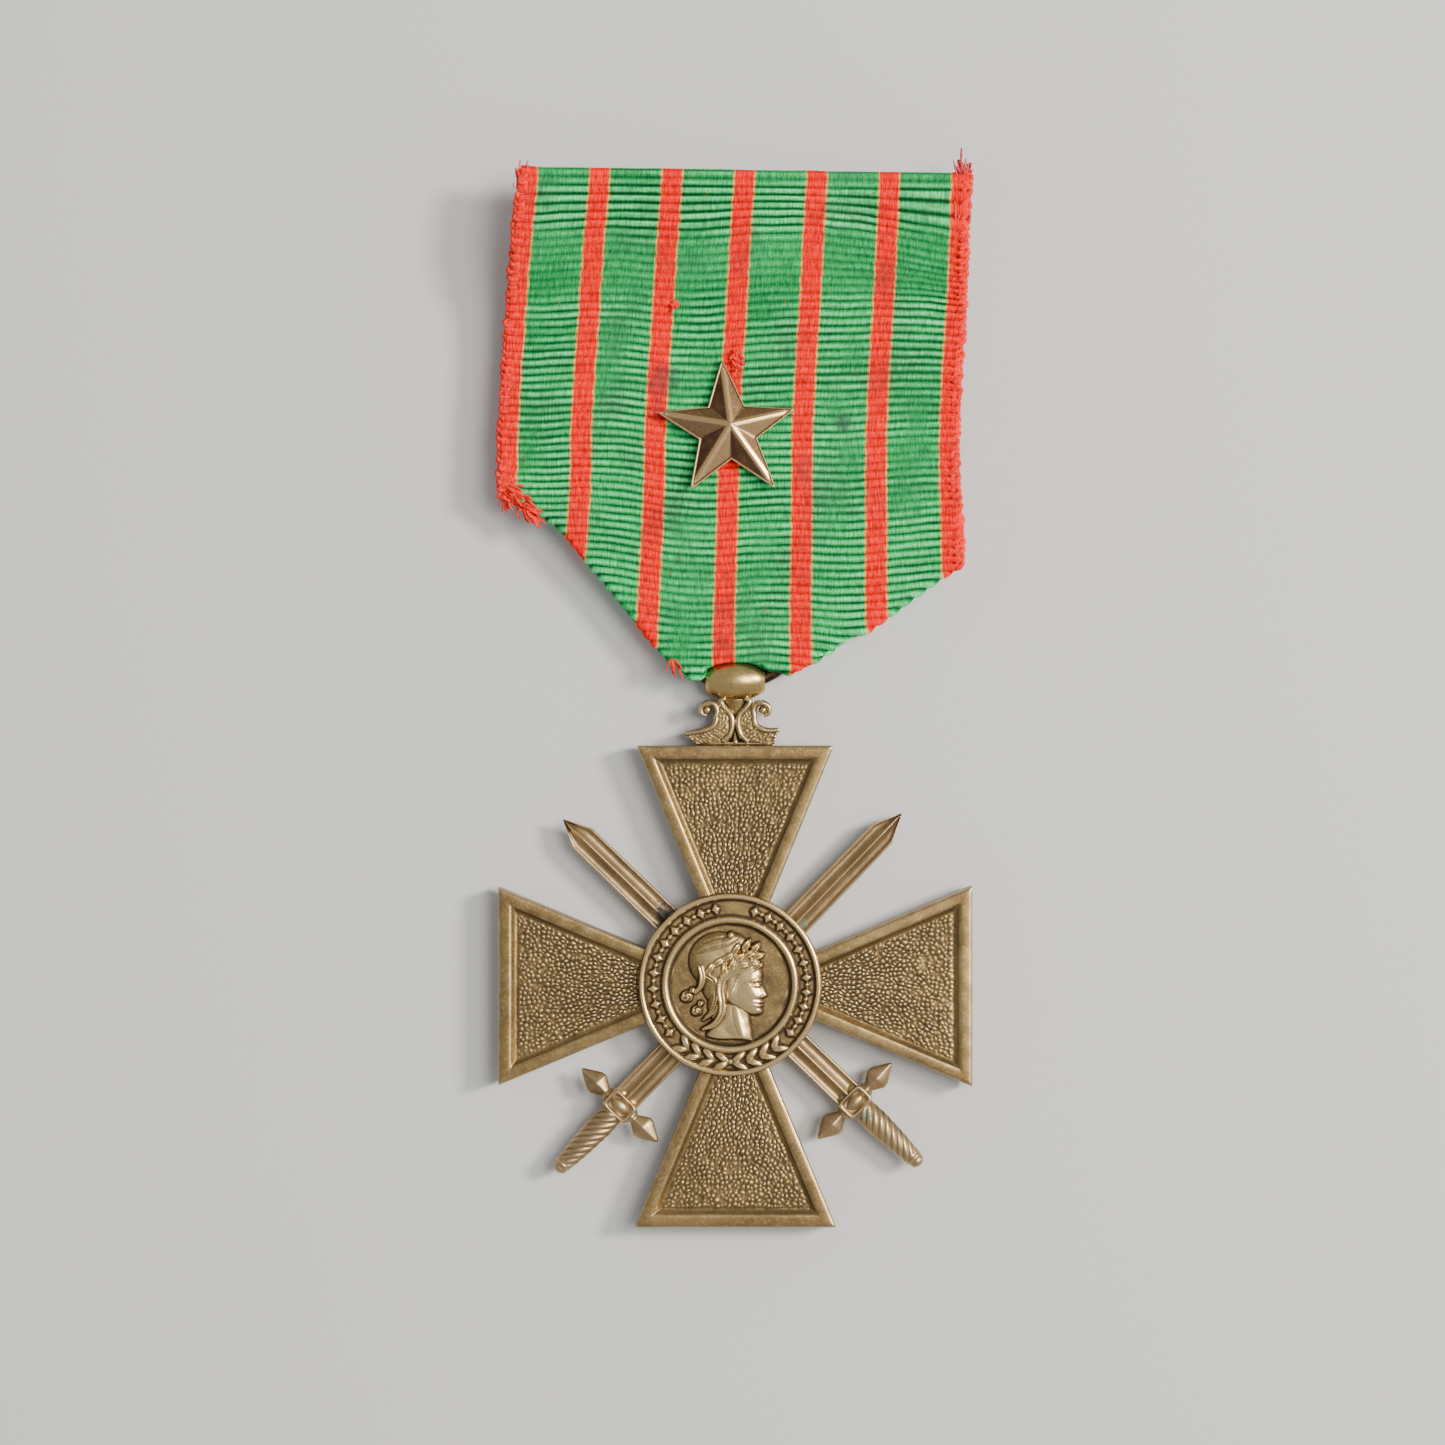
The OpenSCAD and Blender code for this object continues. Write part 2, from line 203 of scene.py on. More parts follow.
def mark_wear(mesh, reach):
    """Stores as wear how sharply each point stands out of its neighbours, times reach.

    For each edge it is twice the drop along the point's normal over the length squared. That is averaged and
    blurred, so it is above 0 on edges and below it in corners.
    """
    n = len(mesh.vertices)
    co, no = np.empty(n * 3, np.float32), np.empty(n * 3, np.float32)
    mesh.vertices.foreach_get("co", co)
    mesh.vertex_normals.foreach_get("vector", no)
    co, no = co.reshape(-1, 3) / MM, no.reshape(-1, 3)
    ends = np.empty(len(mesh.edges) * 2, np.int32)
    mesh.edges.foreach_get("vertices", ends)
    a, b = ends.reshape(-1, 2).T
    d = co[b] - co[a]
    square = np.maximum((d**2).sum(1), 1e-4)
    total = np.bincount(a, -2 * (no[a] * d).sum(1) / square, n)
    total = total + np.bincount(b, 2 * (no[b] * d).sum(1) / square, n)
    count = np.maximum(np.bincount(a, minlength=n) + np.bincount(b, minlength=n), 1)
    wear = np.clip(total / count * reach, -1.5, 1.5)
    for _ in range(2):
        wear = 0.5 * wear + 0.5 * (np.bincount(a, wear[b], n) + np.bincount(b, wear[a], n)) / count
    store(mesh, "wear", wear)


def along(path, n):
    """n points evenly spaced along a smooth (Catmull-Rom) curve through the path's points."""
    p = np.asarray(path, float)
    p = np.vstack([2 * p[0] - p[1], p, 2 * p[-1] - p[-2]])
    t = np.linspace(0, len(p) - 3, 40 * len(p))
    i = np.minimum(t.astype(int), len(p) - 4)
    f = (t - i)[:, None]
    a, b, c, d = p[i], p[i + 1], p[i + 2], p[i + 3]
    q = 0.5 * (2 * b + (c - a) * f + (2 * a - 5 * b + 4 * c - d) * f**2 + (3 * b - a - 3 * c + d) * f**3)
    s = np.concatenate([[0], np.cumsum(np.linalg.norm(np.diff(q, axis=0), axis=1))])
    return np.stack([np.interp(np.linspace(0, s[-1], n), s, q[:, k]) for k in range(q.shape[1])], -1)


def rings(path, radius, sides, flat=1.0):
    """Circles of the given radii square to a path, across it level with the floor, and up square to both."""
    tangent = np.gradient(path, axis=0)
    tangent /= np.linalg.norm(tangent, axis=1)[:, None]
    across = np.cross([0, 0, 1.0], tangent)
    length = np.linalg.norm(across, axis=1)[:, None]
    across = np.where(length > 1e-3, across / np.maximum(length, 1e-3), [1.0, 0, 0])
    up = np.cross(tangent, across)
    a = np.linspace(0, 2 * np.pi, sides, endpoint=False)
    radius = np.broadcast_to(radius, len(path))[:, None, None]
    sideways = np.cos(a)[None, :, None] * across[:, None]
    upwards = flat * np.sin(a)[None, :, None] * up[:, None]
    return path[:, None] + radius * (sideways + upwards)


def turned(profile, sides):
    """Points of a profile of (distance along X, radius) turned about the X axis."""
    a = np.linspace(0, 2 * np.pi, sides, endpoint=False)
    x = np.repeat(profile[:, 0][:, None], sides, 1)
    return np.stack([x, profile[:, 1][:, None] * np.cos(a), profile[:, 1][:, None] * np.sin(a)], -1)


def placed(p, degrees=0.0, origin=(0, 0, 0)):
    """The points turned about Z and then moved to the origin given."""
    c, s = np.cos(np.radians(degrees)), np.sin(np.radians(degrees))
    x, y, z = p[..., 0], p[..., 1], p[..., 2]
    return np.stack([x * c - y * s, x * s + y * c, z], -1) + np.asarray(origin, float)


# ---------------------------------------------------------------- materials


class Graph:
    """Adds nodes to a tree and links them, so that a finish reads as a list of steps."""

    def __init__(self, tree):
        self.tree = tree

    def add(self, kind, inputs=None, **settings):
        node = self.tree.nodes.new(kind)
        for key, value in settings.items():
            setattr(node, key, value)
        for key, value in (inputs or {}).items():
            if isinstance(value, bpy.types.NodeSocket):
                self.tree.links.new(value, node.inputs[key])
            else:
                node.inputs[key].default_value = value
        return node

    def math(self, operation, a, b=0.5):
        return self.add("ShaderNodeMath", {0: a, 1: b}, operation=operation).outputs[0]

    def ease(self, value, low, high, to_low=0.0, to_high=1.0):
        node = self.add(
            "ShaderNodeMapRange",
            {"Value": value, "From Min": low, "From Max": high, "To Min": to_low, "To Max": to_high},
            interpolation_type="SMOOTHSTEP",
        )
        return node.outputs["Result"]

    def mix(self, factor, a, b, blend="MIX"):
        given = {0: factor, 6: a, 7: b}
        return self.add("ShaderNodeMix", given, data_type="RGBA", blend_type=blend).outputs[2]

    def noise(self, vector, scale, detail=2.0, roughness=0.5):
        given = {"Vector": vector, "Scale": scale, "Detail": detail, "Roughness": roughness}
        return self.add("ShaderNodeTexNoise", given).outputs["Fac"]

    def scaled(self, vector, scale, location=(0, 0, 0)):
        given = {"Vector": vector, "Scale": scale, "Location": location}
        return self.add("ShaderNodeMapping", given).outputs["Vector"]

    def value(self, name):
        """A number that the mesh keeps for each of its points."""
        return self.add("ShaderNodeAttribute", attribute_name=name).outputs["Fac"]

    def plus(self, a, b, times):
        """a plus b times a number."""
        return self.math("ADD", a, self.math("MULTIPLY", b, times))

    def relief(self, shader, height, strength, distance):
        """A bump on the shader's normal, its distance in millimetres."""
        bump = self.add("ShaderNodeBump", {"Strength": strength, "Distance": distance * MM, "Height": height})
        self.tree.links.new(bump.outputs[0], shader.inputs["Normal"])


def new_group(name, inputs, outputs):
    """An empty shader node group with named sockets, and its Graph, input and output nodes."""
    tree = bpy.data.node_groups.new(name, "ShaderNodeTree")
    for label, kind, value in inputs:
        socket = tree.interface.new_socket(label, in_out="INPUT", socket_type=kind)
        if value is not None:
            socket.default_value = value
    for label, kind in outputs:
        tree.interface.new_socket(label, in_out="OUTPUT", socket_type=kind)
    graph = Graph(tree)
    return tree, graph, graph.add("NodeGroupInput").outputs, graph.add("NodeGroupOutput").inputs


def bronze_group():
    """Old bronze: edges rubbed to bright metal, dark patina in its corners, and mottling between them."""
    if "Rubbed bronze" in bpy.data.node_groups:
        return bpy.data.node_groups["Rubbed bronze"]
    tree, g, given, out = new_group(
        "Rubbed bronze",
        [
            ("Vector", "NodeSocketVector", None),
            ("Wear", "NodeSocketFloat", 0.0),
            ("Dark", "NodeSocketColor", None),
            ("Mid", "NodeSocketColor", None),
            ("Bright", "NodeSocketColor", None),
            ("Rub", "NodeSocketFloat", 1.0),
            ("Grime", "NodeSocketFloat", 1.0),
            ("Roughness", "NodeSocketFloat", 0.42),
        ],
        [
            ("Color", "NodeSocketColor"),
            ("Roughness", "NodeSocketFloat"),
            ("Metallic", "NodeSocketFloat"),
            ("Height", "NodeSocketFloat"),
        ],
    )
    broad = g.noise(given["Vector"], 260.0, 3.0, 0.6)
    patches = g.noise(given["Vector"], 900.0, 3.0, 0.6)
    fine = g.noise(given["Vector"], 5200.0, 3.0, 0.6)
    spread = g.math("MULTIPLY", g.math("SUBTRACT", patches, 0.5), 0.5)
    rubbed = g.ease(g.math("ADD", g.math("MULTIPLY", given["Wear"], given["Rub"]), spread), 0.06, 0.55)
    packed = g.ease(g.math("SUBTRACT", spread, g.math("MULTIPLY", given["Wear"], given["Grime"])), 0.05, 0.5)
    tint = g.mix(g.ease(broad, 0.35, 0.65), given["Mid"], g.mix(0.35, given["Mid"], given["Dark"]))
    tint = g.mix(g.math("MULTIPLY", g.ease(fine, 0.45, 0.75), 0.3), tint, given["Bright"])
    tint = g.mix(packed, tint, given["Dark"])
    tint = g.mix(rubbed, tint, given["Bright"])
    g.tree.links.new(tint, out["Color"])
    rough = g.plus(given["Roughness"], packed, 0.22)
    rough = g.math("SUBTRACT", rough, g.math("MULTIPLY", rubbed, 0.14))
    rough = g.plus(rough, g.math("SUBTRACT", fine, 0.5), 0.2)
    g.tree.links.new(rough, out["Roughness"])
    g.tree.links.new(g.math("SUBTRACT", 0.95, g.math("MULTIPLY", packed, 0.35)), out["Metallic"])
    g.tree.links.new(g.plus(g.math("MULTIPLY", fine, 0.6), patches, 0.4), out["Height"])
    return tree


def stain_group():
    """A stain round one spot: a mask that falls off with distance, broken up by noise."""
    if "Torn stain" in bpy.data.node_groups:
        return bpy.data.node_groups["Torn stain"]
    tree, g, given, out = new_group(
        "Torn stain",
        [
            ("Vector", "NodeSocketVector", None),
            ("Spot", "NodeSocketVector", None),
            ("Radius", "NodeSocketFloat", 0.0006),
        ],
        [("Mask", "NodeSocketFloat")],
    )
    gap = g.add("ShaderNodeVectorMath", {0: given["Vector"], 1: given["Spot"]}, operation="DISTANCE")
    near = g.math("DIVIDE", gap.outputs["Value"], given["Radius"])
    torn = g.plus(near, g.math("SUBTRACT", g.noise(given["Vector"], 2600.0, 3.0), 0.5), 1.6)
    g.tree.links.new(g.ease(torn, 1.0, 0.35), out["Mask"])
    return tree


def stain(g, place, x, y, z, radius):
    """The mask of one stain, its place and radius in millimetres."""
    given = {"Vector": place, "Spot": (x * MM, y * MM, z * MM), "Radius": radius * MM}
    return g.add("ShaderNodeGroup", given, node_tree=stain_group()).outputs["Mask"]


def new_material(name):
    material = bpy.data.materials.new(name)
    material.use_nodes = True
    material.node_tree.nodes.clear()
    g = Graph(material.node_tree)
    shader = g.add("ShaderNodeBsdfPrincipled")
    g.tree.links.new(shader.outputs[0], g.add("ShaderNodeOutputMaterial").inputs["Surface"])
    return material, g, shader


def bronze(name, tones, rub=1.0, grime=1.0, roughness=0.42, bump=0.012, spots=(), worn=True):
    """A bronze finish on Object coordinates, with dark, mid and bright tones.

    spots holds the place and radius of each stain, in millimetres, and its tint. Only a worn mesh has wear.
    """
    material, g, shader = new_material(name)
    place = g.add("ShaderNodeTexCoord").outputs["Object"]
    wear = 0.0
    if worn:
        # The raised values add to the wear; on the star's facets they also carry painted light and shade.
        wear = g.math("ADD", g.value("wear"), g.value("raised"))
    given = {"Vector": place, "Wear": wear, "Rub": rub, "Grime": grime, "Roughness": roughness}
    given.update({key: (*tone, 1) for key, tone in zip(("Dark", "Mid", "Bright"), tones)})
    made = g.add("ShaderNodeGroup", given, node_tree=bronze_group()).outputs
    color, rough, metal = made["Color"], made["Roughness"], made["Metallic"]
    for *spot, tint in spots:
        mask = stain(g, place, *spot)
        color = g.mix(mask, color, (*tint, 1))
        rough = g.plus(rough, mask, 0.35)
        metal = g.math("MULTIPLY", metal, g.math("SUBTRACT", 1.0, g.math("MULTIPLY", mask, 0.9)))
    g.tree.links.new(color, shader.inputs["Base Color"])
    g.tree.links.new(rough, shader.inputs["Roughness"])
    g.tree.links.new(metal, shader.inputs["Metallic"])
    g.relief(shader, made["Height"], 0.5, bump)
    return material


def refinish(finish, *nodes):
    """Gives CAD nodes that keep their shape a finish."""
    for node in nodes:
        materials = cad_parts[node].data.materials
        materials.clear()
        materials.append(finish)


# Old smudges on the ribbon: X, Y and radius in millimetres, and strength.
RIBBON_SMUDGES = (
    (-5.6, 25.0, 1.7, 0.55),
    (8.4, 21.6, 0.9, 0.6),
    (-9.5, 23.3, 1.6, 0.35),
    (5.5, 18.0, 1.5, 0.3),
    (-6.0, 22.6, 1.0, 0.4),
)
SMUDGE_Z = 3.4


def ribbon_material(s):
    """Watered green cloth with red stripes, each edged with a pale line, with painted shade in the grooves of
    its ribs, painted highlights on their crowns and painted light on its lower part.

    Across the cloth, a triangle wave of one stripe pitch gives the distance to the nearest stripe's middle.
    """
    material, g, shader = new_material("striped_ribbon")
    place = g.add("ShaderNodeTexCoord").outputs["Object"]
    uv = g.add("ShaderNodeUVMap", uv_map="weave").outputs["UV"]
    half, stripe = s.flat_width / MM / 2, s.stripe_width / MM / 2
    mm = g.scaled(uv, (s.flat_width / MM, s.flat_length / MM, 1), (-half, 0, 0))
    height = g.value("rib_height")
    split = g.add("ShaderNodeSeparateXYZ", {"Vector": mm}).outputs
    jitter = g.noise(g.scaled(mm, (0.15, 1.7, 1)), 1.0, 2.0)
    across = g.plus(split["X"], g.math("SUBTRACT", jitter, 0.5), 0.28)
    level = g.add("ShaderNodeSeparateXYZ", {"Vector": place}).outputs["Y"]
    across = g.math("ADD", across, g.ease(level, 0.020, 0.003, 0.0, 0.45))
    gap = g.math("PINGPONG", across, s.stripe_pitch / MM / 2)
    outer = g.ease(g.math("ABSOLUTE", across), half - 0.7, half - 0.5)
    red = g.math("MAXIMUM", outer, g.ease(gap, stripe + 0.02, stripe - 0.02))
    edge = g.ease(g.math("ABSOLUTE", g.math("SUBTRACT", gap, stripe + 0.06)), 0.11, 0.04)
    edge = g.math("MULTIPLY", edge, g.math("SUBTRACT", 1.0, outer))
    per_rib = g.noise(g.scaled(mm, (0.12, 1.55, 1)), 1.0, 3.0, 0.7)
    threads = g.noise(g.scaled(mm, (7.5, 0.9, 1)), 1.0, 3.0, 0.7)
    grain = g.noise(g.scaled(mm, (5.5, 5.5, 1)), 1.0, 3.0, 0.7)
    watered = g.noise(g.scaled(mm, (0.09, 0.22, 1), (3.1, 1.7, 0)), 1.0, 4.0, 0.55)
    # Painted light: the green is made lighter below about 26 mm, where the cloth faces the light more fully.
    lower = g.ease(level, 0.026, 0.012)
    tone = g.plus(g.ease(watered, 0.30, 0.72, 0.35, 0.95), lower, 0.15)
    green = g.mix(tone, (*s.green_deep, 1), (*s.green_light, 1))
    # Painted highlight: the crowns of the ribs are mixed towards the pale green, more on some ribs than on
    # others.
    crown = g.math("MULTIPLY", g.ease(height, 0.1, 0.95), g.ease(per_rib, 0.30, 0.70, 0.15, 0.75))
    green = g.mix(crown, green, (*s.green_crown_highlight, 1))
    scarlet = g.mix(g.ease(per_rib, 0.35, 0.7), (*s.red_deep, 1), (*s.red_light, 1))
    cloth = g.mix(red, green, scarlet)
    cloth = g.mix(g.math("MULTIPLY", edge, g.ease(grain, 0.25, 0.5)), cloth, (*s.edge_line, 1))
    # Painted shade across each rib: the colour is darkened in its groove, less on the red stripes, and a
    # little lightened on its crown, then broken up by threads and grain.
    lift = g.ease(height, -1.0, 0.55, g.math("ADD", g.math("MULTIPLY", red, 0.40), 0.16), 1.05)
    lift = g.math("MULTIPLY", lift, g.ease(threads, 0.28, 0.72, 0.55, 1.38))
    lift = g.math("MULTIPLY", lift, g.ease(grain, 0.25, 0.75, 0.70, 1.28))
    shade = g.add("ShaderNodeCombineColor", {"Red": lift, "Green": lift, "Blue": lift}).outputs[0]
    cloth = g.mix(1.0, cloth, shade, "MULTIPLY")
    dirt = g.math("MULTIPLY", g.ease(g.noise(place, 190.0, 5.0, 0.65), 0.5, 0.72), s.dirt)
    cloth = g.mix(dirt, cloth, (0.035, 0.05, 0.04, 1))
    for x, y, radius, strength in RIBBON_SMUDGES:
        mask = g.math("MULTIPLY", stain(g, place, x, y, SMUDGE_Z, radius), strength)
        cloth = g.mix(mask, cloth, (0.045, 0.055, 0.055, 1))
    specks = g.math("MULTIPLY", g.ease(g.noise(place, 1500.0, 2.0), 0.735, 0.78), 0.6)
    cloth = g.mix(specks, cloth, (0.25, 0.07, 0.02, 1))
    g.tree.links.new(cloth, shader.inputs["Base Color"])
    shader.inputs["Roughness"].default_value = 0.85
    shader.inputs["Specular IOR Level"].default_value = 0.15
    g.relief(shader, g.plus(g.math("MULTIPLY", threads, 0.7), grain, 0.5), 0.7, 0.05)
    return material


def thread_material(name, deep, light, pale):
    """Loose fibres: their colour runs from deep to light, and is pale where they are worn."""
    material, g, shader = new_material(name)
    place = g.add("ShaderNodeTexCoord").outputs["Object"]
    tint = g.mix(g.ease(g.noise(place, 1400.0, 3.0), 0.35, 0.65), (*deep, 1), (*light, 1))
    tint = g.mix(g.math("MULTIPLY", g.ease(g.noise(place, 5200.0, 2.0), 0.52, 0.7), 0.6), tint, (*pale, 1))
    g.tree.links.new(tint, shader.inputs["Base Color"])
    shader.inputs["Roughness"].default_value = 0.85
    g.relief(shader, g.noise(place, 9000.0, 2.0), 0.6, 0.03)
    return material


# ---------------------------------------------------------------- settings


def length(name, description, default, low=0.0, high=0.2):
    """A length in metres."""
    kind = {"min": low, "max": high, "unit": "LENGTH", "precision": 5}
    return FloatProperty(name=name, description=description, default=default, **kind)


def colour(name, description, default):
    """A colour in linear values."""
    kind = {"size": 3, "min": 0, "max": 1, "subtype": "COLOR"}
    return FloatVectorProperty(name=name, description=description, default=default, **kind)


class MedalRibbonSettings(bpy.types.PropertyGroup):
    flat_width: length("Flat width", "Width of the ribbon before it was folded", 0.0352)
    flat_length: length("Flat length", "Length of the ribbon before it was folded", 0.0864)
    thickness: length("Thickness", "Thickness of the cloth between its ribs", 0.00032)
    rib_pitch: length("Rib pitch", "Distance from one rib of the weave to the next", 0.00062)
    rib_rise: length("Rib rise", "How far a rib stands out of its groove", 0.00024)
    stripe_pitch: length("Stripe pitch", "Distance between the middles of two stripes", 0.00571)
    stripe_width: length("Stripe width", "Width of one stripe", 0.00150)
    green_deep: colour("Deep green", "Darkest green of the cloth", (0.003, 0.150, 0.032))
    green_light: colour("Light green", "Usual green of the cloth", (0.018, 0.43, 0.105))
    # The pale green is a painted highlight on the crowns of the ribs.
    green_crown_highlight: colour("Pale green", "Green of the worn ribs", (0.16, 0.88, 0.30))
    red_deep: colour("Deep red", "Darkest red of the stripes", (0.88, 0.002, 0.0))
    red_light: colour("Light red", "Lightest red of the stripes", (1.0, 0.010, 0.001))
    edge_line: colour("Edge line", "Pale line on both sides of a stripe", (0.85, 0.36, 0.07))
    dirt: FloatProperty(
        name="Dirt", description="Strength of the dark smudges", default=0.42, min=0, max=1, subtype="FACTOR"
    )


class MedalBronzeSettings(bpy.types.PropertyGroup):
    dark: colour("Patina", "Dark patina in the corners", (0.045, 0.026, 0.010))
    mid: colour("Bronze", "Usual colour of the bronze", (0.315, 0.205, 0.078))
    bright: colour("Rubbed bronze", "Bright metal on the rubbed edges", (0.62, 0.47, 0.26))
    grain_size: length("Grain size", "Size of the grains in the arms' fields", 0.00034)
    grain_rise: length("Grain rise", "Height of the grains in the arms' fields", 0.00009)
    ornaments: IntProperty(
        name="Ornaments", description="Number of ornaments on the border", default=22, min=8, max=30
    )


class MedalStageSettings(bpy.types.PropertyGroup):
    camera_height: length("Camera height", "Height of the camera above the medal", 0.250, 0.1, 2.0)
    view_width: length("View width", "Width of the view where the medal lies", 0.1125, 0.05, 1.0)
    key_power: FloatProperty(name="Key light", description="Its power in watts", default=5.4, min=0)
    fill: FloatProperty(name="Fill", description="Strength of the even light all round", default=0.54, min=0)


# ---------------------------------------------------------------- ribbon

FOLD_R = 0.2  # radius of the folds at the two slanting edges
NECK_Z = 1.62  # level halfway between the front and rear layers at the neck
NECK_R = 0.3  # radius of the turn at the neck
NECK_HALF = 2.35  # half the width of the cloth that passes over the ring
CUT_Y = 3.0  # below this Y the cloth is on its way round the lower edge
HANG_Y = 8  # below this Y a panel hangs straight, down to its lower edge
ROWS_PER_RIB = 5
NECK_ROWS = 25  # rows from a panel's cut to the middle of the turn
TAIL_END, TOP_FOLD_Y = 34.8, 40.28  # Y of the cut end behind the bar, and of the fold over it
TOP_Z, TAIL_Z = 5.40, 4.22  # levels in front of the bar and behind it

# Edges and folds as (Y, X), then side views as (Y, Z).
LEFT_EDGE = np.array([[41.5, -16.65], [36.0, -17.2], [26.4, -18.02], [16.9, -18.35], [0.0, -18.45]])
RIGHT_EDGE = np.array([
    [41.5, 18.25], [36.55, 18.0], [29.3, 17.75], [20.7, 17.15], [14.9, 17.35], [0.0, 17.6],
])
LEFT_FOLD = np.array([
    [16.5, -18.3], [14.3, -15.3], [12.75, -13.35], [10.2, -11.3], [6.2, -7.45], [3.2, -4.65], [1.8, -3.3],
])
RIGHT_FOLD = np.array([[10.45, 17.3], [6.3, 10.6], [2.62, 4.6], [1.4, 2.6]])
FRONT_SIDE = [
    [HANG_Y, 2.725], [14, 3.05], [27, 3.05], [30.75, 3.42],
    [33.6, 4.42], [36.1, 5.33], [38, 5.4], [40.3, 5.4],
]
REAR_SIDE = [
    [1.5, 0.52], [11.5, 0.52], [13.8, 0.85], [15.9, 2.2], [17.2, 2.55],
    [29.4, 2.55], [31.7, 3.1], [33.75, 3.72], [39.3, 3.72],
]

# Lowest Y of the cloth's middle surface at each X: it dips to a tip on both sides of the ball.
HANGING_X = [
    -9.0, -7.4, -5.0, -4.1, -3.5, -3.0, -2.65, -2.3, -2.0, -1.6, -1.0,
    0, 1.0, 1.6, 2.0, 2.3, 2.7, 3.5, 4.2, 4.7, 5.5, 9.0,
]
HANGING_Y = [
    7.5, 5.8, 3.3, 2.4, 1.8, 1.66, 1.85, 2.62, 2.80, 2.98, 3.17,
    3.26, 3.17, 2.98, 2.80, 2.62, 2.45, 2.4, 2.18, 2.4, 2.95, 5.2,
]


def hanging_edge(x, front):
    """Lowest Y of a panel at each X. The rear one ends a little higher beside the neck."""
    return np.interp(x, HANGING_X, HANGING_Y) + (0.0 if front else 0.1) * smooth(np.abs(x), 2.4, 3.2)


def panel_side(front):
    """A panel's level at its lower edge, the way that it turns there, and its side view."""
    return (2.725, -1.0, FRONT_SIDE) if front else (0.52, 1.0, REAR_SIDE)


def rib_slant(x, y):
    """How far the ribs leave level: they droop to the right at the lower left and by the brooch bar."""
    low_left = -0.085 * (x + 4) * smooth(-x, -6, 12) * smooth(-y, -22, -8) * smooth(y, 3, 9)
    bar = -0.09 * (x - 2) * smooth(x, 2, 14) * smooth(y, 30, 36) * smooth(-y, -39.8, -37.5)
    sway = 0.26 * wander(x, y * 0.55, 11, 6, 0.02, 0.09) + 0.035 * wander(x, y, 12, 7, 0.15, 0.5)
    sway = sway * smooth(-y, -40.0, -37.0)
    return low_left + bar + sway - 0.014 * x * smooth(y, 37, 40)


def panel_width(y):
    """Middle line and stretch of the ribbon's width at each Y."""
    left = np.interp(y, LEFT_EDGE[::-1, 0], LEFT_EDGE[::-1, 1])
    right = np.interp(y, RIGHT_EDGE[::-1, 0], RIGHT_EDGE[::-1, 1])
    stretch = np.interp(y, [2, 4.8, 11, 17.2, 31.3, 39], [1.06, 1.05, 1.025, 1.006, 1.0, 0.978])
    return (left + right) / 2, stretch


def hang(d, edge, z_face, into, middle):
    """Y and Z along a panel's side view at distance d below HANG_Y.

    It goes straight down and turns under its lower edge on an arc. Then it climbs at the sides, or crosses
    over in the middle.
    """
    radius = np.where(middle, NECK_R, FOLD_R)
    start = HANG_Y - edge - radius
    turn = np.clip((d - start) / radius, 0, np.where(middle, np.pi / 2, np.pi))
    past = np.maximum(d - start - turn * radius, 0) * (d > start)
    room = abs(z_face - NECK_Z) - radius
    back = np.where(middle, 0.2 * np.minimum(past / room, 1), past)
    y = np.where(d < start, HANG_Y - d, edge + radius * (1 - np.sin(turn)) + back)
    z = z_face + into * (radius * (1 - np.cos(turn)) + np.where(middle, np.minimum(past, room), 0))
    return y, z


def ribbon_columns(half, limit, flap):
    """Places across the cloth from a fold out to the selvedge, the first of them close together."""
    edge = np.minimum(limit, half - 0.75)
    room = half - edge
    close = np.array([[0, 0.12, 0.25, 0.38, 0.52, 0.68]])
    near = edge[:, None] + np.minimum(close, room[:, None] * 0.6)
    t = np.linspace(0, 1, flap + 1)[1:]
    return edge, np.hstack([near, near[:, -1:] + (half - near[:, -1:]) * t**0.8])


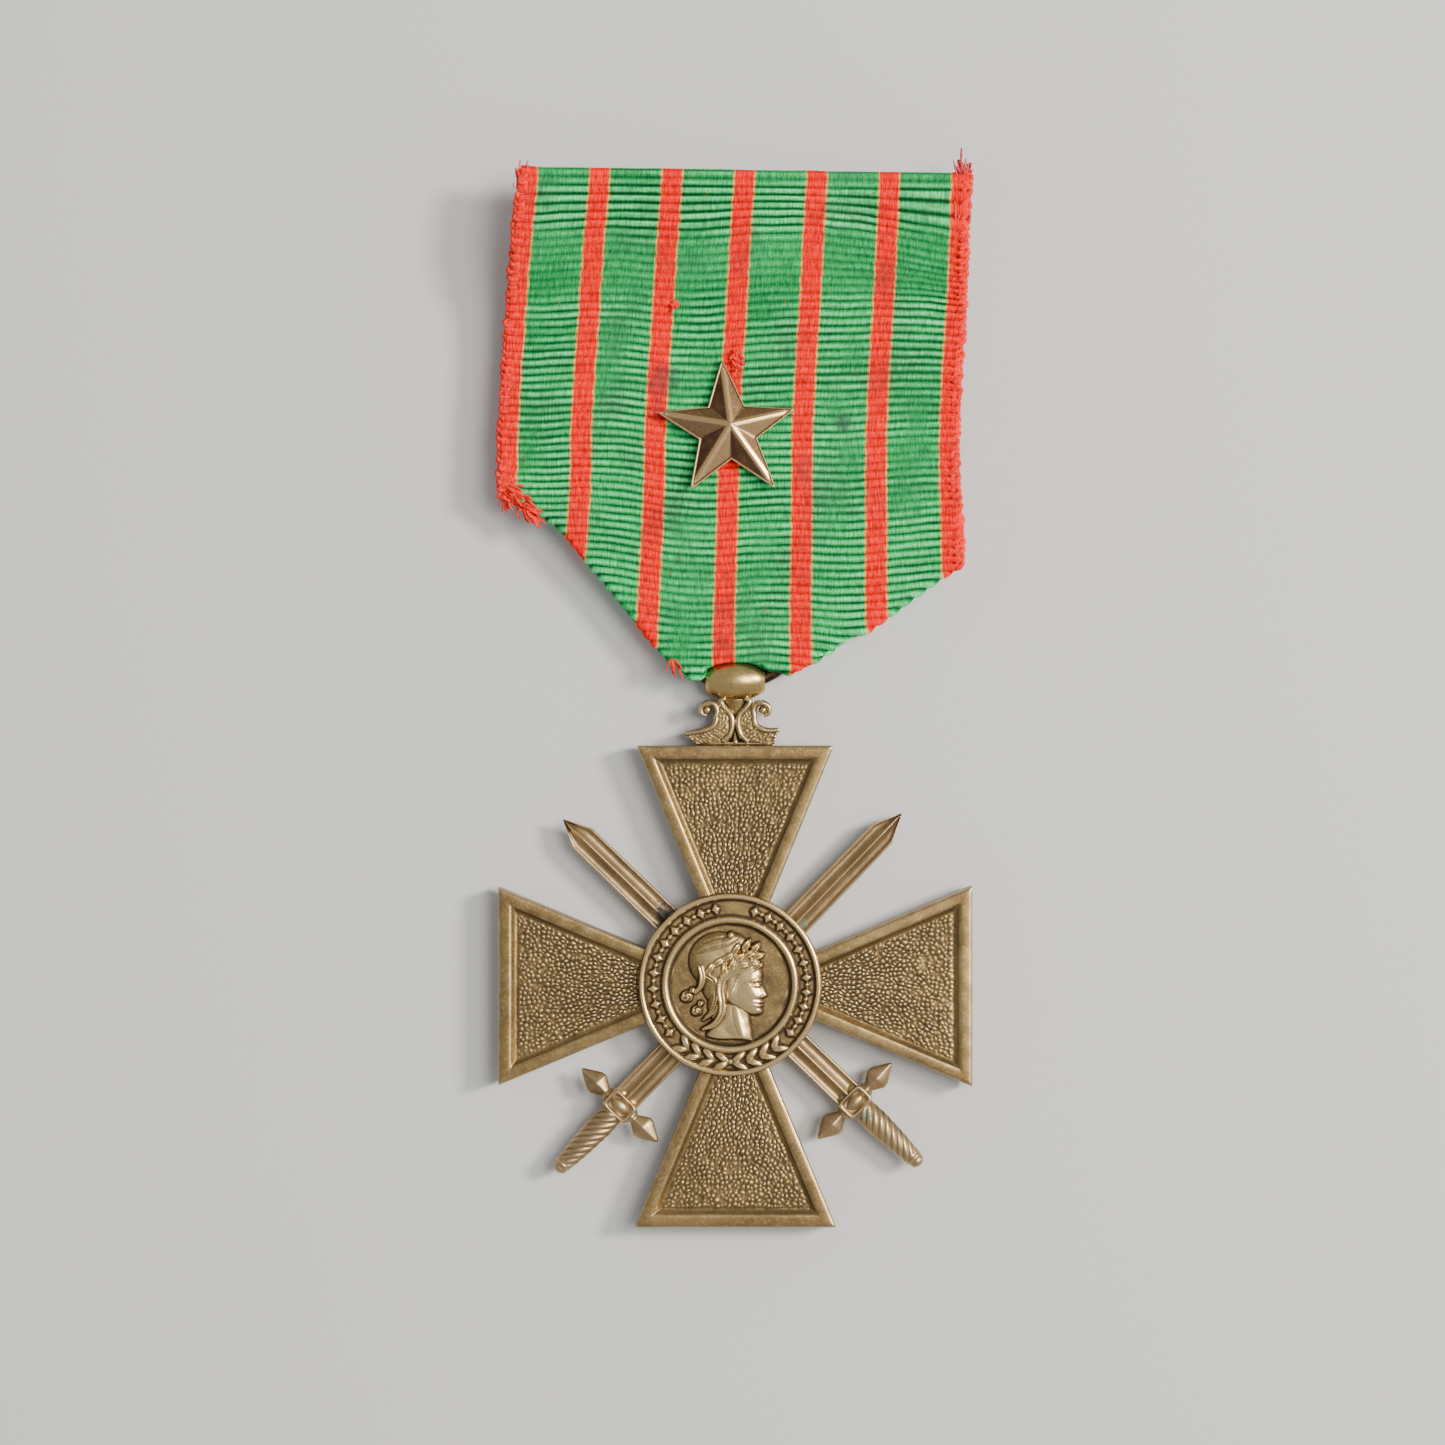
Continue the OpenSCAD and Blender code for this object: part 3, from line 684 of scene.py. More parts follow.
def ribbon_panel(y_row, half, front):
    """Middle surface of a panel: a flat strip whose sides are folded inwards at the slanting edges.

    Up to a fold the place is X = centre + width times stretch. Past it, the distance beyond the fold is split
    into a part along the fold, which goes on, and a part square to it, which runs half round and back.
    """
    centre, stretch = (v[:, None] for v in panel_width(y_row))
    z_face, into, side_view = panel_side(front)
    inner, flap = 40, 9
    sides = []
    for side, fold in ((-1, LEFT_FOLD), (1, RIGHT_FOLD)):
        fold_y, fold_x = fold[::-1].T
        at = np.interp(y_row, fold_y, fold_x)
        lean = np.interp(y_row + 0.3, fold_y, fold_x) - np.interp(y_row - 0.3, fold_y, fold_x)
        d = np.stack([lean, np.full(len(y_row), 0.6)], -1)
        d = d / np.linalg.norm(d, axis=1)[:, None]
        limit = np.where(y_row > fold_y[-1], 99.0, np.abs(at - centre[:, 0]) / stretch[:, 0])
        sides.append((side, d, limit[:, None], *ribbon_columns(half, limit, flap)))
    (_, _, _, left_edge, left_u), (_, _, _, right_edge, right_u) = sides
    t = np.linspace(-1, 1, inner)[None, :]
    middle_u = (right_edge + left_edge)[:, None] / 2 * t + (right_edge - left_edge)[:, None] / 2
    u = np.hstack([-left_u[:, ::-1], middle_u[:, 1:-1], right_u])
    x = centre + u * stretch
    level = y_row[:, None] + rib_slant(x, y_row[:, None] + 0 * u)
    z = np.interp(level, *np.array(along(side_view, 300)).T)
    low_y, low_z = hang(HANG_Y - level, hanging_edge(x, front), z_face, into, np.abs(x) < NECK_HALF)
    y, z = np.where(level < HANG_Y, low_y, level), np.where(level < HANG_Y, low_z, z)
    for side, d, limit, _, out in sides:
        q = np.maximum(side * u - limit, 0) * stretch
        n = np.stack([d[:, 1], -d[:, 0]], -1) * side
        along_fold = q * side * d[:, :1]
        across = q * np.abs(n[:, :1])
        turn = np.pi * FOLD_R
        over = np.minimum(across, turn) / FOLD_R
        h = np.where(across < turn, FOLD_R * np.sin(over), turn - across)
        keep = np.where(across < turn, 1.0, np.interp(y_row, [2, 6, 12], [0.10, 0.45, 0.9])[:, None])
        k = out.shape[1] - 1 if side < 0 else u.shape[1] - out.shape[1]
        beyond = q > 0
        bend_x = centre + side * limit * stretch
        x = np.where(beyond, bend_x + (d[:, :1] * along_fold + n[:, :1] * h) * keep, x)
        y = np.where(beyond, y[:, k : k + 1] + (d[:, 1:] * along_fold + n[:, 1:] * h) * keep, y)
        z = np.where(beyond, z[:, k : k + 1] + into * FOLD_R * (1 - np.cos(over)), z)
        inside = beyond & (y_row < 14)[:, None]
        z = np.where(inside, np.maximum(z, 2.30) if front else np.minimum(z, 0.94), z)
    return u, np.stack([x, y, z], -1)


def neck_half(last_u, last, level, front, step):
    """Rows from a panel's cut to the turn's middle: its tips hang down, then it is gathered inwards."""
    z_face, into, _ = panel_side(front)
    n = NECK_ROWS
    steady = int(n * 0.7)  # rows at the panel's own spacing, where a path is longer than the rest
    inside_z = z_face + into * 0.42
    rows = np.empty((n, len(last), 3))
    for k, (x, y, z) in enumerate(last):
        middle = abs(x) < NECK_HALF and abs(last_u[k]) < 3
        path = [(x, y, z)]
        tucked = np.sign(last_u[k]) * (2.3 - 0.12 * max(abs(last_u[k]) - 2.3, 0))
        edge = hanging_edge(x, front)
        turned_under = z_face + into * 2 * FOLD_R
        start = HANG_Y - level[k]
        if middle:
            end = HANG_Y - edge - NECK_R + np.pi / 2 * NECK_R + abs(z_face - NECK_Z) - NECK_R
        else:
            end = HANG_Y - edge - FOLD_R + np.pi * FOLD_R
        if abs(z - turned_under) > 0.05 or middle:
            for d in np.linspace(start, max(end, start), 12)[1:]:
                py, pz = hang(d, edge, z_face, into, np.bool_(middle))
                path.append((x, float(py), float(pz)))
        if not middle:
            path += [
                (x * 0.8 + tucked * 0.2, 3.3, inside_z),
                (x * 0.3 + tucked * 0.7, 3.75, inside_z),
                (tucked, 3.95, NECK_Z),
            ]
        path = np.array(path)
        s = np.concatenate([[0], np.cumsum(np.linalg.norm(np.diff(path, axis=0), axis=1))])
        j = np.arange(1, n + 1)
        d = s[-1] * j / n
        if s[-1] > n * step:
            rest = (s[-1] - steady * step) * (j - steady) / (n - steady)
            d = np.where(j <= steady, j * step, steady * step + rest)
        rows[:, k] = np.stack([np.interp(d, s, path[:, c]) for c in range(3)], -1)
    return rows


def ribbon_surface(s):
    """The ribbon's middle surface by rows: the tail in the top fold, the front, the neck and the back."""
    half = s.flat_width / MM / 2
    pitch = s.rib_pitch / MM
    step = pitch / ROWS_PER_RIB
    n_front = ROWS_PER_RIB * int((TOP_FOLD_Y - CUT_Y) / pitch)
    u_front, front = ribbon_panel(TOP_FOLD_Y - np.arange(n_front) * step, half, True)
    n_rear = ROWS_PER_RIB * int((REAR_SIDE[-1][0] - CUT_Y) / pitch)
    u_rear, rear = ribbon_panel(CUT_Y + np.arange(n_rear) * step, half, False)
    turn_r = (TOP_Z - TAIL_Z) / 2
    tail = TOP_FOLD_Y - TAIL_END
    d = np.arange(0, tail + np.pi * turn_r - step / 2, step)
    over = np.clip((d - tail) / turn_r, 0, np.pi)
    y = np.where(d < tail, TAIL_END + d, TOP_FOLD_Y + turn_r * np.sin(over))
    top = np.repeat(front[:1], len(d), 0)
    top[..., 1] += (y - TOP_FOLD_Y)[:, None]
    top[..., 2] = ((TOP_Z + TAIL_Z) / 2 - turn_r * np.cos(over))[:, None]
    cut = np.full(front.shape[1], CUT_Y)
    front_level = TOP_FOLD_Y - (n_front - 1) * step + rib_slant(front[-1, :, 0], cut)
    rear_level = CUT_Y + rib_slant(rear[0, :, 0], cut)
    down = neck_half(u_front[-1], front[-1], front_level, True, step)
    up = neck_half(u_rear[0], rear[0], rear_level, False, step)[::-1]
    down[-1] = (down[-1] + up[0]) / 2
    p = np.concatenate([top, front, down, up[1:], rear])
    u_neck = np.repeat(u_front[-1:], 2 * NECK_ROWS - 1, 0)
    u = np.concatenate([np.repeat(u_front[:1], len(d), 0), u_front, u_neck, u_rear])
    phase = np.mod(np.arange(len(p)) - len(d), ROWS_PER_RIB) / ROWS_PER_RIB
    return p, u, phase, step


def weave_ribbon(s):
    """The ribbon as a closed sheet: its middle surface moved both ways along its normals, half its thickness.

    Each rib is a raised half wave along the cloth, and the selvedges bulge where the weft turns back.
    """
    p, u, phase, step = ribbon_surface(s)
    rows, columns = u.shape
    du, ds = np.gradient(p, axis=1), np.gradient(p, axis=0)
    normal = np.cross(du, ds)
    size = np.linalg.norm(normal, axis=2)
    normal /= np.maximum(size, 1e-9)[..., None]
    wave = np.interp(phase, [0, 0.2, 0.4, 0.6, 0.8, 1.0], [-1.0, 0.0, 0.85, 1.0, 0.35, -1.0])[:, None]
    y, x = p[..., 1], p[..., 0]
    strength = 0.80 + 0.30 * wander(x, y, 5, 11, 0.04, 0.35)
    strength = strength * (1 - 0.62 * smooth(y, 30.6, 32.4) * smooth(-y, -36.8, -35.2))
    strength = strength * (1 - 0.45 * smooth(y, 39.6, 40.2))
    strength = strength + 0.55 * smooth(y, 36.0, 37.0) * smooth(-y, -40.0, -39.2)
    strength = strength * smooth(np.linalg.norm(ds, axis=2), 0.25 * step, 0.8 * step)
    relief = wave * strength * s.rib_rise / MM / 2
    edge = s.flat_width / MM / 2 - np.abs(u)
    rib = np.arange(rows) // ROWS_PER_RIB
    puff = np.random.default_rng(7).uniform(0.5, 1.3, (rib.max() + 2, 2))
    lump = np.where(u < 0, puff[rib, 0][:, None], puff[rib, 1][:, None])
    bulge = smooth(-edge, -1.2, -0.3) * (0.05 + 0.10 * lump * np.maximum(wave, 0))
    out = [p + normal * (face * (s.thickness / MM / 2 + relief + bulge))[..., None] for face in (1, -1)]
    outward = du / np.maximum(np.linalg.norm(du, axis=2), 1e-9)[..., None]
    tip = 0.08 + 0.22 * lump[:, [0, -1]] * np.maximum(wave, -0.2)
    left = p[:, :1] - outward[:, :1] * tip[:, :1, None]
    right = p[:, -1:] + outward[:, -1:] * tip[:, 1:, None]
    shell = Shell()
    flat_u = u / (s.flat_width / MM) + 0.5
    flat_v = np.repeat((np.arange(rows) / (rows - 1))[:, None], columns, 1)
    uu = np.concatenate([flat_u, flat_u[:, -1:], flat_u[:, ::-1], flat_u[:, :1]], axis=1)
    vv = np.concatenate([flat_v, flat_v[:, -1:], flat_v[:, ::-1], flat_v[:, :1]], axis=1)
    loop = np.concatenate([out[0], right, out[1][:, ::-1], left], axis=1)
    deep = wave * np.clip(strength, 0.3, 1.6)
    height = np.concatenate([deep, wave, deep[:, ::-1], wave], axis=1)
    index = shell.grid(loop, around=True, uv=np.stack([uu, vv], -1), rib_height=height)
    for row in (index[0], index[-1]):
        a, b = row[:columns], row[columns + 1 : 2 * columns + 1][::-1]
        shell.strips(np.stack([a, b]))
        shell.tris.append(np.array([[a[-1], row[columns], b[-1]], [b[0], row[-1], a[0]]]))
    return shell


# ---------------------------------------------------------------- loose threads


def strand(shell, path, radius, sides=5, n=9):
    """A thin tube along a smooth path, drawn in at its ends."""
    q = along(path, n)
    r = radius * np.sin(np.pi * np.linspace(0.12, 0.92, n)) ** 0.35
    shell.tube(rings(q, r, sides))


def fray(shell, count, reach, radius, seed, start, spread, direction, end=None, floor=0.15, bend=0.3):
    """A tuft: strands that leave points round start, or on a line from start to end, and bend at random."""
    rng = np.random.default_rng(seed)
    direction = np.asarray(direction, float) / np.linalg.norm(direction)
    start = np.asarray(start, float)
    line = np.zeros(3) if end is None else np.asarray(end, float) - start
    for _ in range(count):
        a = start + line * rng.random() + rng.normal(0, 1, 3) * np.asarray(spread, float)
        reach_now = reach * rng.uniform(0.4, 1.1)
        sway = rng.normal(0, bend, 3) * reach_now * [1, 1, 0.4]
        b = a + direction * reach_now * 0.5 + sway * 0.7
        c = a + direction * reach_now + sway
        path = np.array([a, b, c])
        path[:, 2] = np.maximum(path[:, 2], floor)
        strand(shell, path, radius * rng.uniform(0.7, 1.3))


# Tufts of loose thread: number of strands, their reach, radius and seed, the start, the spread round it
# and the direction. Where they differ from the usual, the end of the line, the lowest Z and the bend follow.
RED_TUFTS = (
    (120, 1.15, 0.085, 31, (-18.3, 17.0, 3.2), (0.22, 0.24, 0.10), (0.85, -0.55, 0), (-15.9, 15.0, 3.15)),
    (70, 1.1, 0.075, 32, (-18.1, 16.3, 2.95), (0.22, 0.15, 0.08), (0.8, -0.6, -0.1), (-15.6, 14.4, 2.95)),
    (14, 1.0, 0.06, 33, (-18.0, 15.9, 2.75), (0.18, 0.12, 0.06), (-0.1, -0.9, -0.4)),
    (16, 0.45, 0.10, 34, (-4.75, 30.6, 3.72), (0.14, 0.14, 0.03), (0.8, 0.5, 0.1)),
    (46, 0.42, 0.11, 35, (-0.2, 27.2, 3.40), (0.16, 0.16, 0.04), (0.5, -0.6, 0), (0.15, 25.9, 3.35)),
    (16, 1.2, 0.07, 36, (-5.0, 3.2, 2.95), (0.12, 0.12, 0.05), (0.2, -1.0, 0.0), None, 2.45),
)
PINK_TUFTS = (
    (120, 1.1, 0.09, 41, (17.5, 36.4, 5.35), (0.26, 0.25, 0.10), (0.0, 1, 0), (17.6, 40.7, 5.0)),
    (26, 0.9, 0.07, 42, (17.5, 40.8, 4.9), (0.24, 0.2, 0.12), (-0.1, 1, 0), None, 0.15, 0.2),
    (46, 0.9, 0.08, 43, (-16.55, 39.2, 5.4), (0.28, 0.3, 0.08), (0.05, 1, 0), (-16.3, 40.8, 5.1)),
)


def selvedge_loops(shell, s, seed=3):
    """Weft loops that stand out of both selvedges: each is a half ellipse from one rib to the next."""
    rng = np.random.default_rng(seed)
    side_view = along(FRONT_SIDE, 100).T
    half = s.flat_width / MM / 2
    for side, low, slope in ((-1, 16.0, -0.1), (1, 10.7, 0.28)):
        for y in np.arange(low, 40.7, 0.56):
            centre, stretch = panel_width(y)
            x = float(centre + side * half * stretch)
            z = float(np.interp(y, *side_view))
            out = rng.uniform(0.10, 0.34)
            dz = rng.uniform(-0.10, 0.12)
            path = [
                [x - side * 0.45, y - 0.2 - slope, z + 0.17],
                [x + side * out * 0.6, y - 0.16 + rng.normal(0, 0.06), z + 0.13 + dz],
                [x + side * out, y + 0.08, z + dz],
                [x + side * out * 0.5, y + 0.3 + rng.normal(0, 0.06), z - 0.08 + dz],
                [x - side * 0.4, y + 0.2 + slope, z - 0.02],
            ]
            strand(shell, path, rng.uniform(0.15, 0.22), 7, 10)


# ---------------------------------------------------------------- cross


HUB_EDGE = 5.0  # where the arms end under the medallions
FIELD_EDGE = 1.46  # distance from an arm's edge to its sunk field
FRAME_SCALE = 0.9  # the frame's width at an arm's sides, beside its width at the end


def arm_face(d):
    """Level of an arm's face at distance d from its edge: a crowned frame, a slope and a sunk field."""
    return np.interp(
        d,
        [0, 0.04, 0.12, 0.3, 0.6, 0.82, 0.93, 1.0, 1.08, 1.22, 1.38, FIELD_EDGE],
        [-0.15, -0.055, -0.010, 0.002, 0.010, 0.006, -0.006, -0.035, -0.12, -0.27, -0.40, -0.43],
    )


def arm(shell, s, reach, half, degrees, seed, sign, field_rows, field_columns):
    """One face of an arm down to its middle plane: rows run out from the hub, and columns across it.

    Both are closer together over the frame and its wall.
    """
    slope = half / reach
    lean = np.hypot(1, slope)
    near = np.array([0, 0.035, 0.11, 0.3, 0.6, 0.82, 0.93, 1.0, 1.08, 1.22, 1.37, FIELD_EDGE])
    r = np.concatenate([np.linspace(HUB_EDGE, reach - 1.56, field_rows), (reach - near)[::-1]])
    side = near * FRAME_SCALE * lean
    w = slope * r
    a = np.hstack([
        -(w[:, None] - side),
        (w - side[-1] - 0.12)[:, None] * np.linspace(-1, 1, field_columns),
        (w[:, None] - side)[:, ::-1],
    ])
    rr = np.repeat(r[:, None], a.shape[1], 1)
    d = np.minimum((w[:, None] - np.abs(a)) / lean / FRAME_SCALE, reach - rr)
    grain = pebbles(a + 40 + sign * 7, rr * 0.95 + 40, s.grain_size / MM, seed + sign)
    coarse = wander(a, rr, seed + 3, 9, 0.5, 1.1)
    sunk = smooth(d, 1.40, 1.60)
    crown = 0.05 * (1 - (a / w[:, None]) ** 2)
    level = arm_face(d) + sunk * (grain * (0.9 + 0.22 * coarse) * s.grain_rise / MM + crown)
    level = level + 0.006 * wander(a, rr, seed + 9, 6, 0.2, 0.8)
    face = np.stack([a, rr, MID_Z + sign * (ARM_HALF_T + level)], -1)
    low = np.stack([a[:, [-1, 0]], rr[:, [-1, 0]], np.full((len(r), 2), MID_Z)], -1)
    loop = placed(np.concatenate([face, low], axis=1), degrees, CROSS * FLAT)
    columns = a.shape[1]
    dull = np.zeros(loop.shape[:2])
    dull[:, :columns] = -0.22 * sunk
    index = shell.grid(loop, around=True, raised=dull)
    for row, ring in ((index[0], loop[0]), (index[-1], loop[-1])):
        top = row[:columns]
        t = (np.arange(columns) / (columns - 1))[:, None]
        base = shell.count + np.arange(columns - 2)
        shell._add(((1 - t) * ring[-1] + t * ring[-2])[1:-1], None, {})
        shell.strips(np.stack([top, np.concatenate([row[-1:], base, row[-2:-1]])]))


def dome(shell, centre, rx, ry, height, z, degrees, sign, sides=28, levels=8):
    """A closed button: height times the root of one minus the squared radius, over an ellipse."""
    t = np.linspace(1, 0.12, levels)
    a = np.linspace(0, 2 * np.pi, sides, endpoint=False)
    x = t[:, None] * rx * np.cos(a)
    y = t[:, None] * ry * np.sin(a)
    top = height * (1 - t[:, None] ** 2) ** 0.5 + 0 * x
    base = np.stack([rx * np.cos(a), ry * np.sin(a), np.full(sides, -0.3)], -1)[None]
    p = np.concatenate([base, np.stack([x, y, top], -1)])
    p[..., 2] *= sign
    p = placed(p, degrees, (centre[0], centre[1], z))
    index = shell.grid(p, around=True)
    shell.fan(index[-1], p[-1].mean(0) + [0, 0, sign * 0.01])
    shell.fan(index[0], p[0].mean(0))


# ---------------------------------------------------------------- swords


GUARD_X = 13.0  # distance of the guard from the middle of the cross


def blade(keep_lower):
    """A blade by cross-sections along X: a middle ridge, two hollows, and a raised line by each edge."""
    x = np.concatenate([
        [-18.75], np.linspace(-18.65, -16.5, 16), np.linspace(-16.2, -5.2, 46),
        [-4.75, -4.65, -1.3, -1.2, 1.2, 1.3, 4.65, 4.75], np.linspace(5.2, 12.6, 30),
    ])
    w = np.interp(x, [-18.75, -18.65, -16.6, -10, 13], [0.02, 0.07, 1.08, 1.12, 1.12])
    t = np.concatenate([[-1, -0.975, -0.93, -0.86], np.linspace(-0.78, 0.78, 27), [0.86, 0.93, 0.975, 1]])
    level = np.interp(
        np.abs(t),
        [0, 0.04, 0.12, 0.34, 0.52, 0.70, 0.82, 0.90, 0.96, 1.0],
        [0.64, 0.62, 0.53, 0.28, 0.19, 0.22, 0.33, 0.42, 0.39, 0.26],
    )
    top = np.interp(x, [-18.75, -17.6, -16.4], [0.35, 0.85, 1.0])[:, None] * level[None]
    low = -top
    inside = (np.abs(x) <= 4.7)[:, None]
    crossing = (np.abs(x) <= 1.25)[:, None]
    low = np.where(inside, np.maximum(low, -0.25), low)
    if keep_lower:
        top = np.where(crossing, 0.17, top)
    else:
        low = np.where(crossing, 0.18, low)
    xx = np.repeat(x[:, None], len(t), 1)
    yy = w[:, None] * t
    return np.concatenate([np.stack([xx, yy, top], -1), np.stack([xx, yy, low], -1)[:, ::-1]], axis=1)


def hilt_points():
    """Closed tubes of the hilt along X: two faceted quillons with collars, scallops, grip and pommel."""
    parts = []
    y = np.concatenate([np.linspace(0.7, 1.6, 10), np.linspace(1.66, 4.12, 26)])
    wide = np.interp(
        y,
        [0.7, 1.1, 1.2, 1.35, 1.5, 1.62, 2.4, 2.8, 3.95, 4.12],
        [0.50, 0.48, 0.62, 0.62, 0.42, 0.48, 0.97, 0.90, 0.20, 0.05],
    )
    tall = np.interp(
        y,
        [0.7, 1.1, 1.2, 1.35, 1.5, 1.7, 2.5, 3.95, 4.12],
        [0.40, 0.38, 0.52, 0.52, 0.38, 0.42, 0.60, 0.16, 0.05],
    )
    scallop = [(11.78, 0.02), (11.84, 0.26), (12.05, 0.42), (12.35, 0.46), (12.5, 0.40), (12.55, 0.02)]
    a = np.linspace(0, 2 * np.pi, 32, endpoint=False)
    point = 1.55  # above 1, a section comes to four corners
    cx = np.sign(np.cos(a)) * np.abs(np.cos(a)) ** point
    cz = np.sign(np.sin(a)) * np.abs(np.sin(a)) ** point
    for side in (-1, 1):
        across = np.repeat(side * y[:, None], 32, 1)
        parts.append(np.stack([GUARD_X + wide[:, None] * cx, across, tall[:, None] * cz], -1))
        parts.append(turned(along(scallop, 14), 20) * [1, 1.15, 1] + [0, side * 0.50, 0])
    x = np.linspace(13.7, 19.4, 120)
    theta = np.linspace(0, 2 * np.pi, 72, endpoint=False)
    radius = np.interp(x, [13.7, 14.0, 15.4, 17.6, 19.2, 19.4], [0.86, 0.96, 1.02, 0.88, 0.70, 0.60])
    rope = np.abs(np.cos(0.5 * (8 * theta[None] + 2 * np.pi * x[:, None] / 0.66)))
    fade = (smooth(x, 13.85, 14.1) * smooth(-x, -19.3, -19.05))[:, None]
    rr = radius[:, None] * (1 - 0.17 * fade * (1 - rope**0.65))
    parts.append(np.stack([np.repeat(x[:, None], 72, 1), rr * np.sin(theta), rr * np.cos(theta) * 0.92], -1))
    pommel = [
        (19.25, 0.05), (19.25, 0.62), (19.36, 0.72), (19.5, 0.68), (19.62, 0.58),
        (19.78, 0.60), (19.98, 0.50), (20.12, 0.30), (20.19, 0.05),
    ]
    parts.append(turned(along(pommel, 26), 32))
    return parts


def guard_block():
    """The guard's block as a box by rings: a raised rounded frame round a sunk panel, above and below."""
    a = np.linspace(0, 2 * np.pi, 64, endpoint=False)
    n = 6.0  # the higher it is, the squarer the block
    r = (np.abs(np.cos(a)) ** n + np.abs(np.sin(a)) ** n) ** (-1 / n)
    scale = np.array([0.02, 0.3, 0.58, 0.64, 0.70, 0.78, 0.86, 0.94, 0.99, 1.0])
    level = np.array([0.66, 0.66, 0.66, 0.68, 0.76, 0.86, 0.90, 0.86, 0.74, 0.5])
    scale, level = np.concatenate([scale, scale[::-1]]), np.concatenate([level, -level[::-1]])
    half_x, half_y = 0.86, 1.24
    x, y = scale[:, None] * half_x * r * np.cos(a), scale[:, None] * half_y * r * np.sin(a)
    return np.stack([GUARD_X + x, y, np.repeat(level[:, None], 64, 1)], -1)


# ---------------------------------------------------------------- medallions


def pillow(x, y, cx, cy, rx, ry, degrees=0.0, power=0.5):
    """An ellipse's dome: one minus the squared distance from its middle, to a power, and 0 outside."""
    c, s = np.cos(np.radians(degrees)), np.sin(np.radians(degrees))
    u = ((x - cx) * c + (y - cy) * s) / rx
    v = (-(x - cx) * s + (y - cy) * c) / ry
    return np.maximum(1 - u * u - v * v, 0) ** power


def leaf(x, y, cx, cy, size, width, degrees):
    """A pointed leaf with a midrib: its half width is width times one minus the squared distance along it."""
    c, s = np.cos(np.radians(degrees)), np.sin(np.radians(degrees))
    u = ((x - cx) * c + (y - cy) * s) / (size / 2)
    v = (-(x - cx) * s + (y - cy) * c) / (width / 2)
    room = np.maximum(1 - u * u, 0)
    inside = np.maximum(1 - (v / np.maximum(room, 1e-6)) ** 2, 0) * (room > 0)
    return inside**0.5 * room**0.3 * (0.80 + 0.20 * np.minimum(np.abs(v) * 3.0, 1))


def stroke(x, y, path, width, n=40):
    """A rounded ridge along a smooth path: the height falls with distance from it as a half circle's does."""
    q = along(path, n)
    w = np.interp(np.linspace(0, 1, n), np.linspace(0, 1, len(width)), width)
    best = np.zeros(x.shape)
    for (qx, qy), r in zip(q, w):
        d2 = ((x - qx) ** 2 + (y - qy) ** 2) / (r * r)
        best = np.maximum(best, np.maximum(1 - d2, 0) ** 0.5)
    return best


def ring_relief(r):
    """The medallion's plain levels from its middle outwards: field, inner ring, border and outer ring."""
    levels = np.array([
        (0, 0.0), (4.55, 0.02), (4.70, 0.04), (4.78, 0.22), (4.86, 0.34), (5.0, 0.41),
        (5.15, 0.41), (5.27, 0.33), (5.36, 0.20), (5.44, 0.13), (6.55, 0.13), (6.63, 0.20),
        (6.70, 0.36), (6.80, 0.45), (6.93, 0.47), (7.04, 0.41), (7.12, 0.28), (7.15, 0.16),
    ])
    return np.interp(r, *levels.T)


def lock(x, y, path, width, strands=3, n=60):
    """A lock of hair: a rounded ridge along a smooth path, combed into strands by grooves that follow it."""
    q = along(path, n)
    w = np.interp(np.linspace(0, 1, n), np.linspace(0, 1, len(width)), width)
    d2 = (x[..., None] - q[:, 0]) ** 2 + (y[..., None] - q[:, 1]) ** 2
    k = np.argmin(d2 / w**2, -1)
    t = np.gradient(q, axis=0)
    t /= np.linalg.norm(t, axis=1)[:, None]
    off = (x - q[k, 0]) * t[k, 1] - (y - q[k, 1]) * t[k, 0]
    ratio = np.sqrt(np.take_along_axis(d2, k[..., None], -1)[..., 0]) / w[k]
    groove = 0.5 - 0.5 * np.cos(np.pi * strands * (off / w[k] + 1))
    return np.maximum(1 - ratio**2, 0) ** 0.5 * (0.82 + 0.18 * groove)


def rounded(d, reach):
    """Height across a rounded edge: a quarter circle from 0 at the edge to 1 at the reach given."""
    t = np.clip(d / reach, 0, 1)
    return np.sqrt(np.maximum(1 - (1 - t) ** 2, 0))


def border_ornament(x, y, count):
    """Upright lozenges and beads in turn round the border, and two laurel sprays that meet below."""
    out = np.zeros(x.shape)
    mid = 5.99  # radius of the border's middle line
    for low, high, n in ((-44.0, 77.0, count // 2), (95.0, 224.0, count - count // 2)):
        pitch = (high - low) / n
        for i in range(n):
            at = np.radians(low + pitch * (i + 0.5))
            u = (x - mid * np.cos(at)) * np.cos(at) + (y - mid * np.sin(at)) * np.sin(at)
            v = -(x - mid * np.cos(at)) * np.sin(at) + (y - mid * np.sin(at)) * np.cos(at)
            lozenge = np.maximum(1 - np.abs(u) / 0.54 - np.abs(v) / 0.42, 0)
            out = np.maximum(out, 0.30 * np.minimum(lozenge * 2.2, 1) ** 0.8)
            if i < n - 1:
                between = at + np.radians(pitch / 2)
                bead = pillow(x, y, mid * np.cos(between), mid * np.sin(between), 0.19, 0.19)
                out = np.maximum(out, 0.24 * bead)
    for side in (-1, 1):
        for turn in (6.5, 17.0, 27.5, 38.0):
            at = np.radians(-90 + side * turn)
            heading = np.degrees(at) + 90 * side
            for spread in (-1, 1):
                r = mid + 0.31 * spread
                lean = heading - side * spread * 27
                out = np.maximum(out, 0.36 * leaf(x, y, r * np.cos(at), r * np.sin(at), 1.34, 0.60, lean))
    return np.maximum(out, 0.24 * pillow(x, y, 0, -mid, 0.27, 0.27))


